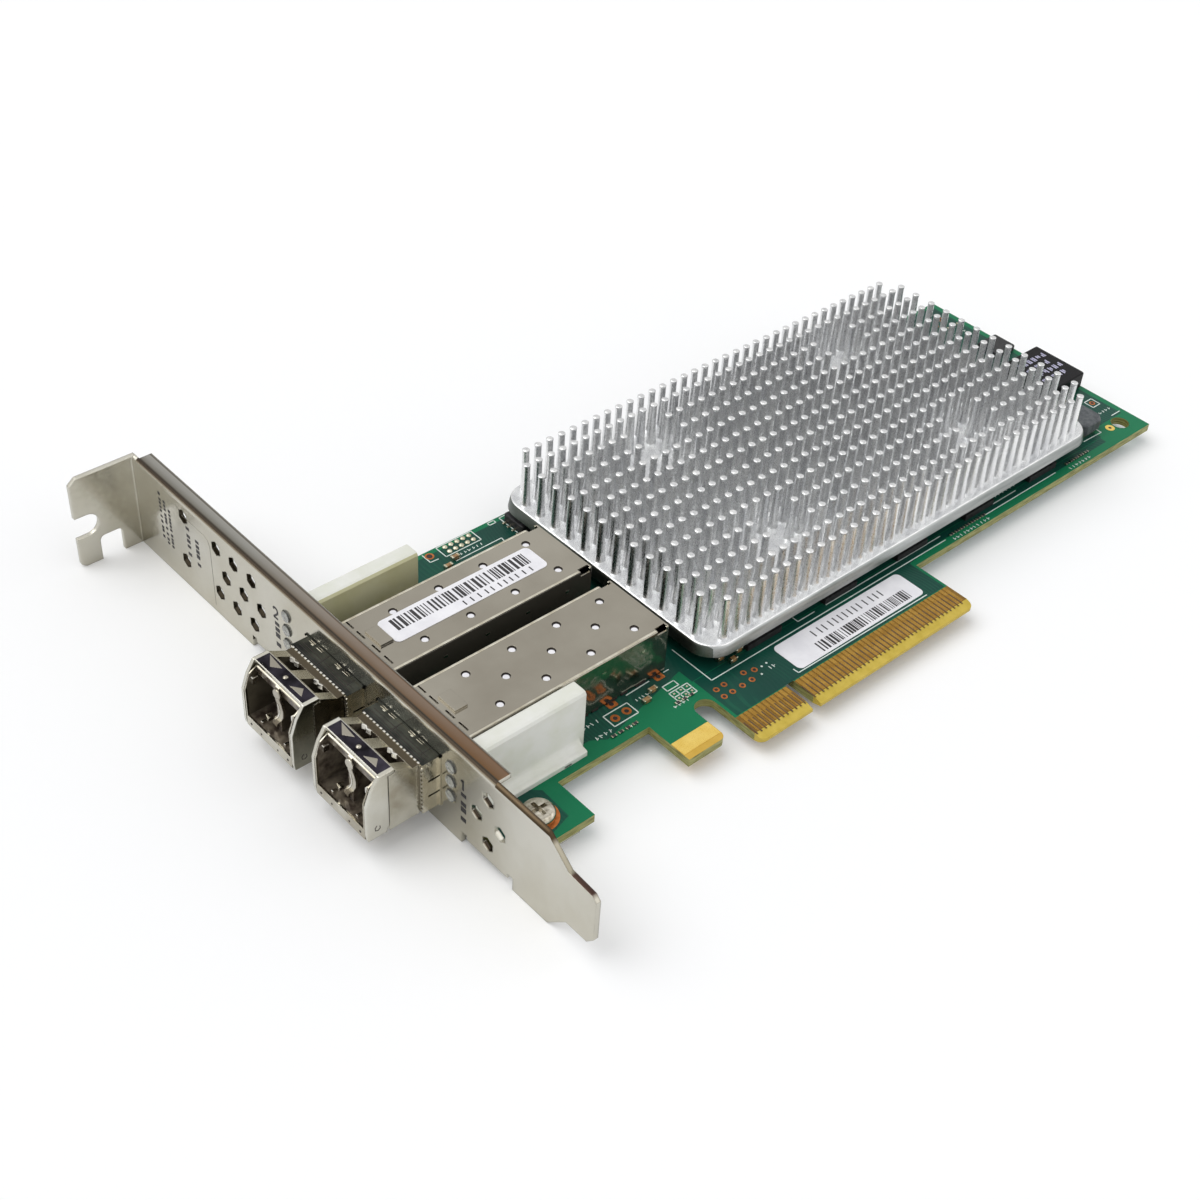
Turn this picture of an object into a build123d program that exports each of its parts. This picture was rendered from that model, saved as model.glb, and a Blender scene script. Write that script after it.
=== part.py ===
from build123d import *
import os

# Frame: X runs from the bracket to the tail, Y from the contact tips up the card,
# Z up from the component side of the board. The origin is the key notch at the tips.

# Circuit board
board_thickness = 1.57
board_height = 68.9
board_tail_x = 109.9
board_gap_to_bracket = 0.5
board_edge_y = 13.2
foot_end_x = -43.6
foot_y = 4.75
ground_tab_start_x = -24.7
ground_tab_end_x = -16.6
ground_tab_y = 4.05
tongue_start_x = -12.6
tongue_end_x = 39.6
relief_top_y = 12.6
key_width = 1.9
key_top_y = 8.9
tongue_corner = 1.2
bevel_length = 1.8
bevel_depth = 0.5
tooling_hole_x = 105.5
tooling_hole_y = 17.1
tooling_hole_d = 3.6

# Edge contacts
contact_pitch = 1.0
contact_width = 0.7
contact_top_y = 6.1
contact_thickness = 0.05
first_contact_x = 1.5
contacts_before_key = 11
contacts_after_key = 38

# Bracket
bracket_face_x = -60.15
bracket_thickness = 0.86
bracket_bottom_z = -3.95
bracket_width = 18.42
bracket_top_y = 106.5
bracket_length = 120.02
bracket_tongue_width = 10.2
bracket_tongue_bottom_z = -0.2
bracket_tongue_length = 5.8
bracket_shoulder = 3.9
bracket_tab_depth = 11.85
flange_depth = 3.2
flange_start_y = 8.6
flange_end_y = 104.4
bend_radius = 0.8
tab_slot_width = 4.4
tab_slot_depth = 4.4
tab_slot_z = 4.3
tab_notch_start = 3.4
tab_notch_width = 4.4
tab_notch_height = 4.9
ear_width = 9.4
ear_length = 14.0
ear_relief = 1.2
vent_length = 2.9
vent_width = 2.4

# Bracket screws
screw_x = -50.4
lower_screw_y = 9.8
upper_screw_y = 65.0
screw_thread_d = 3.0
screw_head_d = 5.4
screw_head_height = 1.7
screw_clearance = 0.3

# Ports
port_1_y = 28.3
port_pitch = 18.5
port_opening_clearance = 0.3

# Transceiver cages
cage_width = 14.2
cage_height = 9.8
cage_wall = 0.3
cage_reach = 3.3
cage_rear_x = -13.9
cage_standoff = 0.2
cage_hole_d = 1.5
cage_hole_pitch = 9.15
cage_hole_rows = 4.15
cage_last_hole = 4.8
cage_slit_back = 9.9
cage_slit_width = 0.3
cage_slit_length = 2.2
cage_slit_spread = 0.8
cage_bump_back = 10.8
cage_bump_length = 2.4
cage_bump_height = 0.4
collar_thickness = 0.25
collar_length = 4.3

# Transceivers
module_width = 13.55
module_height = 8.5
module_clearance = 0.25
module_wall = 0.9
module_rear_gap = 2.6
module_cover = 0.3
nose_length = 9.4
nose_bottom_z = -0.2
nose_top_z = 11.6
receptacle_pitch = 6.25
receptacle_width = 5.3
receptacle_height = 7.6
receptacle_sill = 1.8
receptacle_depth = 9.6
mouth_rim = 0.25
divider_recess = 2.1
window_start = 0.4
window_length = 2.7
window_width = 3.8
module_board_thickness = 1.0
module_board_z = 3.2
sleeve_d = 2.0
sleeve_length = 3.6
optical_unit_d = 5.2
optical_unit_length = 8.0

# Bail latches
bail_thickness = 0.6
bail_arm_depth = 3.9
bail_bar_depth = 2.7
bail_bar_thickness = 0.7
bail_clearance = 0.12
bail_pivot_back = 2.0
bail_pivot_z = 1.05
bail_pin_d = 1.2
bail_pin_length = 0.6

# Host connectors
host_width = 11.3
host_length = 8.6
host_height = 5.4
host_slot_depth = 5.6

# Light pipes
pipe_1_offset = -10.1
pipe_2_offset = 13.2
pipe_d = 2.0
pipe_pitch = 2.95
pipe_low_z = 4.15
pipe_proud = 0.3
pipe_count = 3
pipe_bend = 1.6
pipe_step_x = 5.0
pipe_housing_wall = 0.4
pipe_housing_cavity = 2.4
pipe_housing_height = 11.5
pipe_housing_end_x = -35.4
pipe_lip_width = 2.0
pipe_lip_height = 1.3
led_height = 0.8
led_size = 1.6
led_gap = 0.2

# Heatsink
sink_left_x = -9.9
sink_right_x = 93.2
sink_near_y = 15.2
sink_far_y = 69.3
sink_bottom_z = 2.6
sink_plate = 2.4
sink_top_z = 13.5
sink_corner = 5.0
sink_edge_round = 0.6
pin_d = 1.4
pin_sides = 5
pin_columns = 37
pin_rows = 12
pin_pitch_x = 2.735
pin_pitch_y = 3.92
pin_first_x = -7.6
pin_first_y = 20.95
pin_outer_row = 3.45
pin_gap_columns = (8, 26)
pin_gap_rows = (1, 9)
pin_gap_size = (3, 2)

# Heatsink fixings
spacer_d = 5.0
sink_screw_d = 2.5
sink_screw_head_d = 4.6
sink_screw_head_height = 1.0
sink_screw_depth = 1.4
sink_washer_d = 5.2
sink_washer_thickness = 0.5

# Chips and small parts
controller_size = 31.0
controller_thickness = 2.2
memory_size = 8.0
memory_thickness = 1.2
memory_count = 5
memory_y = 19.9
module_block = (11.4, 12.2, 3.7)
module_block_corner = (98.0, 29.5)
regulator_block = (5.8, 5.4, 1.4)
regulator_corner = (103.5, 46.4)
inductor_block = (6.6, 6.6, 2.9)
inductor_corner = (94.2, 18.0)
inductor_cut = 1.3
capacitor_block = (1.6, 0.8, 0.8)
capacitor_rows = ((-5.7, 17.0, 1.2), (-4.3, 15.4, 1.2), (-22.0, 17.2, 1.2), (98.4, 26.4, 1.2), (-26.2, 62.8, 1.2))
resistor_block = (1.0, 0.5, 0.35)
resistor_rows = ((50.7, 14.6, 7), (85.3, 14.9, 5), (-31.0, 14.8, 4), (-18.0, 14.0, 3), (103.0, 60.0, 4))
resistor_pitch = 1.5
flash_block = (5.2, 5.3, 1.7)
flash_corner = (-9.7, 62.2)
oscillator_block = (5.0, 3.2, 1.1)
oscillator_corner = (-10.6, 55.0)

# Labels
label_thickness = 0.1
board_label_size = (31.4, 6.6)
board_label_corner = (3.7, 7.3)
cage_label_size = (31.0, 5.9)
cage_label_start = 9.15
label_round = 1.0

# Worked out from the sizes above
bracket_back_x = bracket_face_x + bracket_thickness
bracket_top_z = bracket_bottom_z + bracket_width
bracket_tip_y = bracket_top_y - bracket_length
board_front_x = bracket_back_x + board_gap_to_bracket
board_under_z = -board_thickness
cage_front_x = bracket_face_x - cage_reach
cage_inner_top_z = cage_height - cage_wall
module_bottom_z = cage_standoff + cage_wall + module_clearance
module_top_z = module_bottom_z + module_height
module_rear_x = cage_rear_x - module_rear_gap
nose_front_x = cage_front_x - nose_length
bail_pivot_x = nose_front_x + bail_pivot_back
host_front_x = cage_rear_x - 1.3 - host_length
sink_top_of_plate_z = sink_bottom_z + sink_plate
ports = {"1": port_1_y, "2": port_1_y + port_pitch}
pipe_lines = {"1": port_1_y + pipe_1_offset, "2": port_1_y + port_pitch + pipe_2_offset}
pipe_heights = [pipe_low_z + pipe_pitch * n for n in range(pipe_count)]
pipe_bends_x = [pipe_housing_end_x - 2.6 - pipe_step_x * (pipe_count - 1 - n) for n in range(pipe_count)]
screw_ys = (lower_screw_y, upper_screw_y)
sink_screw_places = [
    (
        pin_first_x + pin_pitch_x * (column + (pin_gap_size[0] - 1) / 2),
        pin_first_y + pin_pitch_y * (row + (pin_gap_size[1] - 1) / 2),
    )
    for column in pin_gap_columns
    for row in pin_gap_rows
]

os.makedirs("parts", exist_ok=True)


def keep(piece, name):
    piece.part.label = name
    export_step(piece.part, f"parts/{name}.step")


def block(x0, x1, y0, y1, z0, z1, mode=Mode.ADD):
    with Locations(((x0 + x1) / 2, (y0 + y1) / 2, (z0 + z1) / 2)):
        Box(x1 - x0, y1 - y0, z1 - z0, mode=mode)


def corner_block(corner, size, z=0.0):
    block(corner[0], corner[0] + size[0], corner[1], corner[1] + size[1], z, z + size[2])


# Circuit board
relief_radius = (tongue_start_x - ground_tab_end_x) / 2
key_half = key_width / 2
with BuildPart() as board:
    with BuildSketch(Plane.XY.offset(board_under_z)):
        with BuildLine():
            Polyline(
                (ground_tab_end_x, relief_top_y - relief_radius),
                (ground_tab_end_x, ground_tab_y),
                (ground_tab_start_x, ground_tab_y),
                (ground_tab_start_x, board_edge_y),
                (foot_end_x, board_edge_y),
                (foot_end_x, foot_y),
                (board_front_x, foot_y),
                (board_front_x, board_height),
                (board_tail_x, board_height),
                (board_tail_x, board_edge_y),
                (tongue_end_x, board_edge_y),
                (tongue_end_x, 0),
                (key_half, 0),
                (key_half, key_top_y - key_half),
            )
            ThreePointArc(
                (key_half, key_top_y - key_half), (0, key_top_y), (-key_half, key_top_y - key_half)
            )
            Polyline(
                (-key_half, key_top_y - key_half),
                (-key_half, 0),
                (tongue_start_x, 0),
                (tongue_start_x, relief_top_y - relief_radius),
            )
            ThreePointArc(
                (tongue_start_x, relief_top_y - relief_radius),
                (tongue_start_x - relief_radius, relief_top_y),
                (ground_tab_end_x, relief_top_y - relief_radius),
            )
        make_face()
    extrude(amount=board_thickness)
    uprights = board.edges().filter_by(Axis.Z)
    tips = uprights.filter_by(lambda edge: abs(edge.center().Y) < 0.01)
    fillet(tips.filter_by(lambda edge: abs(edge.center().X) > key_half + 0.01), tongue_corner)
    fillet(
        board.edges().filter_by(Axis.Z).filter_by(
            lambda edge: abs(edge.center().Y - ground_tab_y) < 0.01 and edge.center().X > ground_tab_start_x + 1
        ),
        tongue_corner,
    )
    with BuildSketch(Plane.YZ.offset(tongue_start_x - 0.5)):
        for surface, depth in ((0, -bevel_depth), (board_under_z, bevel_depth)):
            with BuildLine():
                Polyline((bevel_length, surface), (0, surface + depth), (-1, surface + depth), close=False)
                Polyline((-1, surface + depth), (-1, surface - depth), (bevel_length, surface - depth))
                Line((bevel_length, surface - depth), (bevel_length, surface))
            make_face()
    extrude(amount=tongue_end_x - tongue_start_x + 1, mode=Mode.SUBTRACT)
    with Locations(*[(screw_x, y, 0) for y in screw_ys]):
        Hole((screw_thread_d + screw_clearance) / 2)
    with Locations((tooling_hole_x, tooling_hole_y, 0)):
        Hole(tooling_hole_d / 2)
    with Locations(*[(x, y, 0) for x, y in sink_screw_places]):
        Hole((sink_screw_d + screw_clearance) / 2)
keep(board, "circuit_board")

# Edge contacts on both sides
contact_xs = [-first_contact_x - contact_pitch * n for n in range(contacts_before_key)]
contact_xs += [first_contact_x + contact_pitch * n for n in range(contacts_after_key)]
for side, surface in (("component", 0.0), ("solder", board_under_z - contact_thickness)):
    with BuildPart() as contacts:
        with BuildSketch(Plane.XY.offset(surface)):
            with Locations(*[(x, (bevel_length + contact_top_y) / 2) for x in contact_xs]):
                Rectangle(contact_width, contact_top_y - bevel_length)
        extrude(amount=contact_thickness)
    keep(contacts, f"contacts_{side}_side")

# Plated ground tab beside the contacts
with BuildPart() as tab_plating:
    for surface in (0.0, board_under_z - contact_thickness):
        block(
            ground_tab_start_x + 0.1,
            ground_tab_end_x - 0.1,
            ground_tab_y + tongue_corner,
            ground_tab_y + 4.2,
            surface,
            surface + contact_thickness,
        )
keep(tab_plating, "ground_tab_plating")

# Folded mounting bracket
tongue_top_z = bracket_tongue_bottom_z + bracket_tongue_width
tongue_root_y = bracket_tip_y + bracket_tongue_length
opening_half_width = cage_width / 2 + collar_thickness + port_opening_clearance
opening_bottom_z = cage_standoff - collar_thickness - port_opening_clearance
opening_top_z = cage_height + collar_thickness + port_opening_clearance
vents = [(90.0, 11.3), (90.3, 1.7)]
vents += [(y, 10.8) for y in (80.1, 75.0, 69.8)]
vents += [(y, 6.1) for y in (77.6, 72.5, 67.4)]
vents += [(y, 1.4) for y in (80.1, 75.0, 69.9)]
vents += [(9.7, 10.1), (12.3, 5.4), (7.0, 5.3), (9.7, 0.8)]
tab_out_x = bracket_face_x - bracket_tab_depth
with BuildPart() as bracket:
    with BuildSketch(Plane.YZ.offset(bracket_face_x)):
        with BuildLine():
            Polyline(
                (bracket_top_y, bracket_bottom_z),
                (bracket_top_y, bracket_top_z),
                (flange_start_y - 3.2, bracket_top_z),
                (tongue_root_y + bracket_shoulder + 0.9, bracket_top_z),
                (tongue_root_y, tongue_top_z + 0.4),
                (bracket_tip_y + 0.9, tongue_top_z),
                (bracket_tip_y, tongue_top_z - 0.9),
                (bracket_tip_y, bracket_tongue_bottom_z + 1.6),
                (bracket_tip_y + 1.4, bracket_tongue_bottom_z),
                (tongue_root_y, bracket_tongue_bottom_z),
                (tongue_root_y + bracket_shoulder, bracket_bottom_z),
                (bracket_top_y, bracket_bottom_z),
            )
        make_face()
        for y in ports.values():
            with Locations((y, (opening_bottom_z + opening_top_z) / 2)):
                RectangleRounded(
                    2 * opening_half_width, opening_top_z - opening_bottom_z, 0.5, mode=Mode.SUBTRACT
                )
        with Locations(*[(y, z) for y in pipe_lines.values() for z in pipe_heights]):
            Circle(pipe_d / 2 + screw_clearance / 2, mode=Mode.SUBTRACT)
        with Locations(*vents):
            Polygon(
                (-vent_width / 2, -vent_length / 4),
                (0, -vent_length / 2),
                (vent_width / 2, -vent_length / 4),
                (vent_width / 2, vent_length / 4),
                (0, vent_length / 2),
                (-vent_width / 2, vent_length / 4),
                mode=Mode.SUBTRACT,
            )
    extrude(amount=bracket_thickness)
    # Side flange along the component edge
    block(
        bracket_face_x,
        bracket_face_x + flange_depth,
        flange_start_y,
        flange_end_y,
        bracket_top_z - bracket_thickness,
        bracket_top_z,
    )
    # Mounting tab with its screw slot and side notch
    with BuildSketch(Plane.XZ.offset(-bracket_top_y)):
        with BuildLine():
            Polyline(
                (bracket_back_x, bracket_bottom_z),
                (bracket_back_x, bracket_top_z),
                (tab_out_x + 1.4, bracket_top_z),
                (tab_out_x, bracket_top_z - 1.2),
                (tab_out_x, bracket_bottom_z + 0.7),
                (tab_out_x + 0.9, bracket_bottom_z),
                (bracket_back_x, bracket_bottom_z),
            )
        make_face()
        slot_straight = tab_slot_depth - tab_slot_width / 2
        with Locations((tab_out_x + slot_straight / 2 - 0.5, tab_slot_z)):
            Rectangle(slot_straight + 1, tab_slot_width, mode=Mode.SUBTRACT)
        with Locations((tab_out_x + slot_straight, tab_slot_z)):
            Circle(tab_slot_width / 2, mode=Mode.SUBTRACT)
        with Locations(
            (
                bracket_face_x - tab_notch_start - tab_notch_width / 2,
                bracket_bottom_z + tab_notch_height / 2 - 0.5,
            )
        ):
            RectangleRounded(tab_notch_width, tab_notch_height + 1, 1.0, mode=Mode.SUBTRACT)
    extrude(amount=bracket_thickness)
    # Ears that reach under the board to its screws
    for y in screw_ys:
        block(
            bracket_face_x - 1,
            bracket_back_x + 1,
            y - ear_width / 2 - ear_relief,
            y + ear_width / 2 + ear_relief,
            bracket_bottom_z - 1,
            board_under_z - bracket_thickness,
            mode=Mode.SUBTRACT,
        )
        for edge in (y - ear_width / 2 - ear_relief, y + ear_width / 2):
            block(
                bracket_face_x - 1,
                bracket_back_x + 1,
                edge,
                edge + ear_relief,
                bracket_bottom_z - 1,
                board_under_z,
                mode=Mode.SUBTRACT,
            )
        block(
            bracket_face_x,
            bracket_face_x + ear_length,
            y - ear_width / 2,
            y + ear_width / 2,
            board_under_z - bracket_thickness,
            board_under_z,
        )
    with Locations(*[(screw_x, y, board_under_z) for y in screw_ys]):
        Hole(screw_thread_d / 2)
    folds = bracket.edges().filter_by(
        lambda edge: edge.length > 20
        and abs(edge.center().X - bracket_face_x) < 0.01
        and abs(edge.center().Z - bracket_top_z) < 0.01
    )
    fillet(folds, bend_radius)
keep(bracket, "mounting_bracket")

# Screws that hold the board to the bracket ears
with BuildPart() as screws:
    for y in screw_ys:
        with BuildSketch(Plane.XY):
            with Locations((screw_x, y)):
                Circle(screw_head_d / 2)
        extrude(amount=screw_head_height)
        with BuildSketch(Plane.XY):
            with Locations((screw_x, y)):
                Circle(screw_thread_d / 2)
        extrude(amount=-(board_thickness + bracket_thickness))
    rims = screws.edges().filter_by(GeomType.CIRCLE).group_by(Axis.Z)[-1]
    fillet(rims, screw_head_height / 2)
    with BuildSketch(Plane.XY.offset(screw_head_height)):
        with Locations(*[(screw_x, y) for y in screw_ys]):
            Rectangle(screw_head_d * 0.55, 0.7)
            Rectangle(0.7, screw_head_d * 0.55)
    extrude(amount=-0.8, mode=Mode.SUBTRACT)
keep(screws, "bracket_screws")

# Ports: cage, collar, host connector and transceiver
for port, mid in ports.items():
    left = mid - cage_width / 2
    right = mid + cage_width / 2
    with BuildPart() as shell:
        block(cage_front_x, cage_rear_x, left, right, cage_standoff, cage_height)
        block(
            cage_front_x - 1,
            cage_rear_x - cage_wall,
            left + cage_wall,
            right - cage_wall,
            cage_standoff - 1,
            cage_inner_top_z,
            mode=Mode.SUBTRACT,
        )
        folds = shell.edges().filter_by(Axis.X).group_by(Axis.Z)[-1]
        fillet(folds, cage_wall)
        for side in (left, right):
            block(
                cage_rear_x - 2.4,
                cage_rear_x - cage_wall,
                side - 0.9,
                side + 0.9,
                cage_inner_top_z - 0.6,
                cage_height + 1,
                mode=Mode.SUBTRACT,
            )
        holes = [
            (cage_rear_x - cage_last_hole - cage_hole_pitch * n, mid + row)
            for n in range(4)
            for row in (-cage_hole_rows, cage_hole_rows)
        ]
        holes += [(cage_rear_x - cage_last_hole - cage_hole_pitch * (n + 0.5), mid) for n in range(3)]
        with Locations(*[(x, y, cage_height) for x, y in holes]):
            Hole(cage_hole_d / 2, depth=cage_wall + 0.5)
        for row in (-5.6, -1.6, 3.4, 7.2):
            block(
                cage_front_x + cage_slit_back,
                cage_front_x + cage_slit_back + cage_slit_width,
                mid + row * cage_slit_spread - cage_slit_length / 2,
                mid + row * cage_slit_spread + cage_slit_length / 2,
                cage_inner_top_z - 0.1,
                cage_height + 1,
                mode=Mode.SUBTRACT,
            )
        block(
            cage_front_x + cage_bump_back,
            cage_front_x + cage_bump_back + cage_bump_length,
            mid - 1.5,
            mid + 2.7,
            cage_height,
            cage_height + cage_bump_height,
        )
    keep(shell, f"cage_shell_{port}")

    with BuildPart() as base:
        block(
            cage_front_x,
            host_front_x - module_clearance,
            left + cage_wall,
            right - cage_wall,
            cage_standoff,
            cage_standoff + cage_wall,
        )
    keep(base, f"cage_base_{port}")

    with BuildPart() as collar:
        block(
            cage_front_x + 0.15,
            cage_front_x + 0.15 + collar_length,
            left - collar_thickness,
            right + collar_thickness,
            cage_standoff - collar_thickness,
            cage_height + collar_thickness,
        )
        block(
            cage_front_x - 1,
            cage_front_x + collar_length + 1,
            left,
            right,
            cage_standoff,
            cage_height,
            mode=Mode.SUBTRACT,
        )
        for z in (cage_height * 0.28, cage_height * 0.6):
            block(
                cage_front_x + 1.2,
                cage_front_x + collar_length - 0.6,
                left - 1,
                right + 1,
                z,
                z + 0.35,
                mode=Mode.SUBTRACT,
            )
    keep(collar, f"spring_collar_{port}")

    with BuildPart() as host:
        block(
            host_front_x,
            host_front_x + host_length,
            mid - host_width / 2,
            mid + host_width / 2,
            0,
            host_height,
        )
        block(
            host_front_x - 1,
            host_front_x + host_slot_depth,
            mid - host_width / 2 + 1.0,
            mid + host_width / 2 - 1.0,
            module_board_z - 0.1,
            module_board_z + module_board_thickness + 0.1,
            mode=Mode.SUBTRACT,
        )
    keep(host, f"host_connector_{port}")

    # Die-cast transceiver housing: body, sloped nose and two receptacles
    body_left = mid - module_width / 2
    body_right = mid + module_width / 2
    inner_half = module_width / 2 - module_wall
    board_half = inner_half - 0.6
    cover_under_z = module_top_z - module_cover
    arm_recess = bail_thickness + bail_clearance
    arm_rear_x = nose_front_x + bail_arm_depth
    receptacle_top_z = receptacle_sill + receptacle_height
    receptacle_back_x = nose_front_x + receptacle_depth
    wall_back_x = receptacle_back_x + 2.4
    bar_under_z = nose_top_z + 0.3 - bail_bar_thickness
    bar_rear_x = nose_front_x + bail_arm_depth + 1.2
    with BuildPart() as housing:
        block(cage_front_x, module_rear_x, body_left, body_right, module_bottom_z, cover_under_z)
        with BuildSketch(Plane.XZ.offset(-body_right)):
            with BuildLine():
                Polyline(
                    (cage_front_x - 0.02, nose_bottom_z),
                    (nose_front_x, nose_bottom_z),
                    (nose_front_x, nose_top_z * 0.62),
                    (nose_front_x + 1.0, nose_top_z * 0.86),
                    (nose_front_x + 2.6, bar_under_z - bail_clearance),
                    (bar_rear_x + bail_clearance, bar_under_z - bail_clearance),
                    (bar_rear_x + bail_clearance, nose_top_z),
                    (cage_front_x - 1.2, cage_height + 0.2),
                    (cage_front_x - 0.02, cage_height + 0.2),
                    close=True,
                )
            make_face()
        extrude(amount=module_width)
        block(
            cage_front_x - 0.5,
            cage_front_x + 2,
            body_left,
            body_right,
            module_bottom_z,
            cover_under_z,
        )
        # Recesses for the arms of the bail
        for inner, outer in ((body_left - 1, body_left + arm_recess), (body_right - arm_recess, body_right + 1)):
            block(
                nose_front_x - 1,
                arm_rear_x + bail_clearance,
                inner,
                outer,
                nose_bottom_z - 1,
                nose_top_z + 2,
                mode=Mode.SUBTRACT,
            )
        with Locations(Plane.XZ.offset(-body_right - 1) * Location((bail_pivot_x, bail_pivot_z, 0))):
            Cylinder(
                bail_pin_d / 2 + bail_clearance,
                2 * (1 + arm_recess + bail_pin_length + 0.1),
                mode=Mode.SUBTRACT,
            )
        with Locations(Plane.XZ.offset(-body_left + 1) * Location((bail_pivot_x, bail_pivot_z, 0))):
            Cylinder(
                bail_pin_d / 2 + bail_clearance,
                2 * (1 + arm_recess + bail_pin_length + 0.1),
                mode=Mode.SUBTRACT,
            )
        # Two receptacles side by side
        for offset in (-receptacle_pitch / 2, receptacle_pitch / 2):
            block(
                nose_front_x - 1,
                receptacle_back_x,
                mid + offset - receptacle_width / 2,
                mid + offset + receptacle_width / 2,
                receptacle_sill,
                receptacle_top_z,
                mode=Mode.SUBTRACT,
            )
            block(
                nose_front_x - 1,
                bar_rear_x - bail_bar_depth,
                mid + offset - receptacle_width / 2,
                mid + offset + receptacle_width / 2,
                receptacle_top_z - 1,
                bar_under_z - bail_clearance - mouth_rim,
                mode=Mode.SUBTRACT,
            )
            block(
                bar_rear_x + window_start,
                bar_rear_x + window_start + window_length,
                mid + offset - window_width / 2,
                mid + offset + window_width / 2,
                receptacle_top_z - 1,
                nose_top_z + 1,
                mode=Mode.SUBTRACT,
            )
            with Locations(Plane.YZ.offset(receptacle_back_x) * Location((mid + offset, 5.2, 0))):
                Cylinder(sleeve_d / 2 + 0.1, 6, mode=Mode.SUBTRACT)
        # The wall between the receptacles stands back from the nose's front
        block(
            nose_front_x - 1,
            nose_front_x + divider_recess,
            mid - receptacle_pitch / 2,
            mid + receptacle_pitch / 2,
            receptacle_sill,
            bar_under_z - bail_clearance - mouth_rim,
            mode=Mode.SUBTRACT,
        )
        # Open channel for the optical units and the inner board
        block(
            wall_back_x,
            module_rear_x - 12,
            mid - inner_half,
            mid + inner_half,
            module_bottom_z + module_wall,
            module_top_z + 1,
            mode=Mode.SUBTRACT,
        )
        block(
            module_rear_x - 13,
            module_rear_x + 1,
            mid - inner_half,
            mid + inner_half,
            module_board_z - 0.6,
            module_board_z + 2.4,
            mode=Mode.SUBTRACT,
        )
        block(
            host_front_x - module_clearance,
            module_rear_x + 1,
            mid - host_width / 2 - module_clearance,
            mid + host_width / 2 + module_clearance,
            module_bottom_z - 1,
            host_height + module_clearance,
            mode=Mode.SUBTRACT,
        )
    keep(housing, f"transceiver_housing_{port}")

    with BuildPart() as cover:
        block(
            wall_back_x - 1.5,
            module_rear_x,
            body_left + 0.3,
            body_right - 0.3,
            cover_under_z,
            module_top_z,
        )
    keep(cover, f"transceiver_cover_{port}")

    with BuildPart() as inner_board:
        block(
            wall_back_x + optical_unit_length + 0.3,
            host_front_x + host_slot_depth - 0.4,
            mid - host_width / 2 + 1.2,
            mid + host_width / 2 - 1.2,
            module_board_z,
            module_board_z + module_board_thickness,
        )
        block(
            wall_back_x + optical_unit_length + 0.3,
            host_front_x - module_clearance,
            mid - inner_half + 0.1,
            mid + inner_half - 0.1,
            module_board_z,
            module_board_z + module_board_thickness,
        )
    keep(inner_board, f"transceiver_board_{port}")

    with BuildPart() as optics:
        for offset in (-receptacle_pitch / 2, receptacle_pitch / 2):
            with BuildSketch(Plane.YZ.offset(wall_back_x)):
                with Locations((mid + offset, 5.2)):
                    Circle(optical_unit_d / 2)
            extrude(amount=optical_unit_length)
            with BuildSketch(Plane.YZ.offset(wall_back_x)):
                with Locations((mid + offset, 5.2)):
                    Circle(sleeve_d / 2)
            extrude(amount=-(wall_back_x - receptacle_back_x + sleeve_length))
            with BuildSketch(Plane.YZ.offset(receptacle_back_x - sleeve_length)):
                with Locations((mid + offset, 5.2)):
                    Circle(sleeve_d / 4)
            extrude(amount=sleeve_length, mode=Mode.SUBTRACT)
    keep(optics, f"optical_units_{port}")

    # Bail: two arms, a top bar and inward pivot pins
    bar_top_z = bar_under_z + bail_bar_thickness
    with BuildPart() as bail:
        for face_y in (body_left, body_right - bail_thickness):
            with BuildSketch(Plane.XZ.offset(-(face_y + bail_thickness))):
                with BuildLine():
                    Polyline(
                        (nose_front_x + 0.1, nose_bottom_z),
                        (nose_front_x - 0.05, nose_bottom_z + 1),
                        (nose_front_x - 0.05, nose_top_z * 0.6),
                        (nose_front_x + 0.95, nose_top_z * 0.84),
                        (nose_front_x + 2.3, bar_top_z),
                        (bar_rear_x, bar_top_z),
                        (bar_rear_x, bar_under_z),
                        (arm_rear_x, bar_under_z),
                        (arm_rear_x, bail_pivot_z),
                        (arm_rear_x - 0.55, nose_bottom_z),
                        close=True,
                    )
                make_face()
            extrude(amount=bail_thickness)
        block(
            bar_rear_x - bail_bar_depth,
            bar_rear_x,
            body_left,
            body_right,
            bar_under_z,
            bar_top_z,
        )
        for pin_y in (body_left + bail_thickness, body_right - bail_thickness):
            inward = 1 if pin_y < mid else -1
            pin_mid = pin_y + inward * bail_pin_length / 2
            with Locations(Plane.XZ.offset(-pin_mid) * Location((bail_pivot_x, bail_pivot_z, 0))):
                Cylinder(bail_pin_d / 2, bail_pin_length)
    keep(bail, f"bail_latch_{port}")

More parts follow.
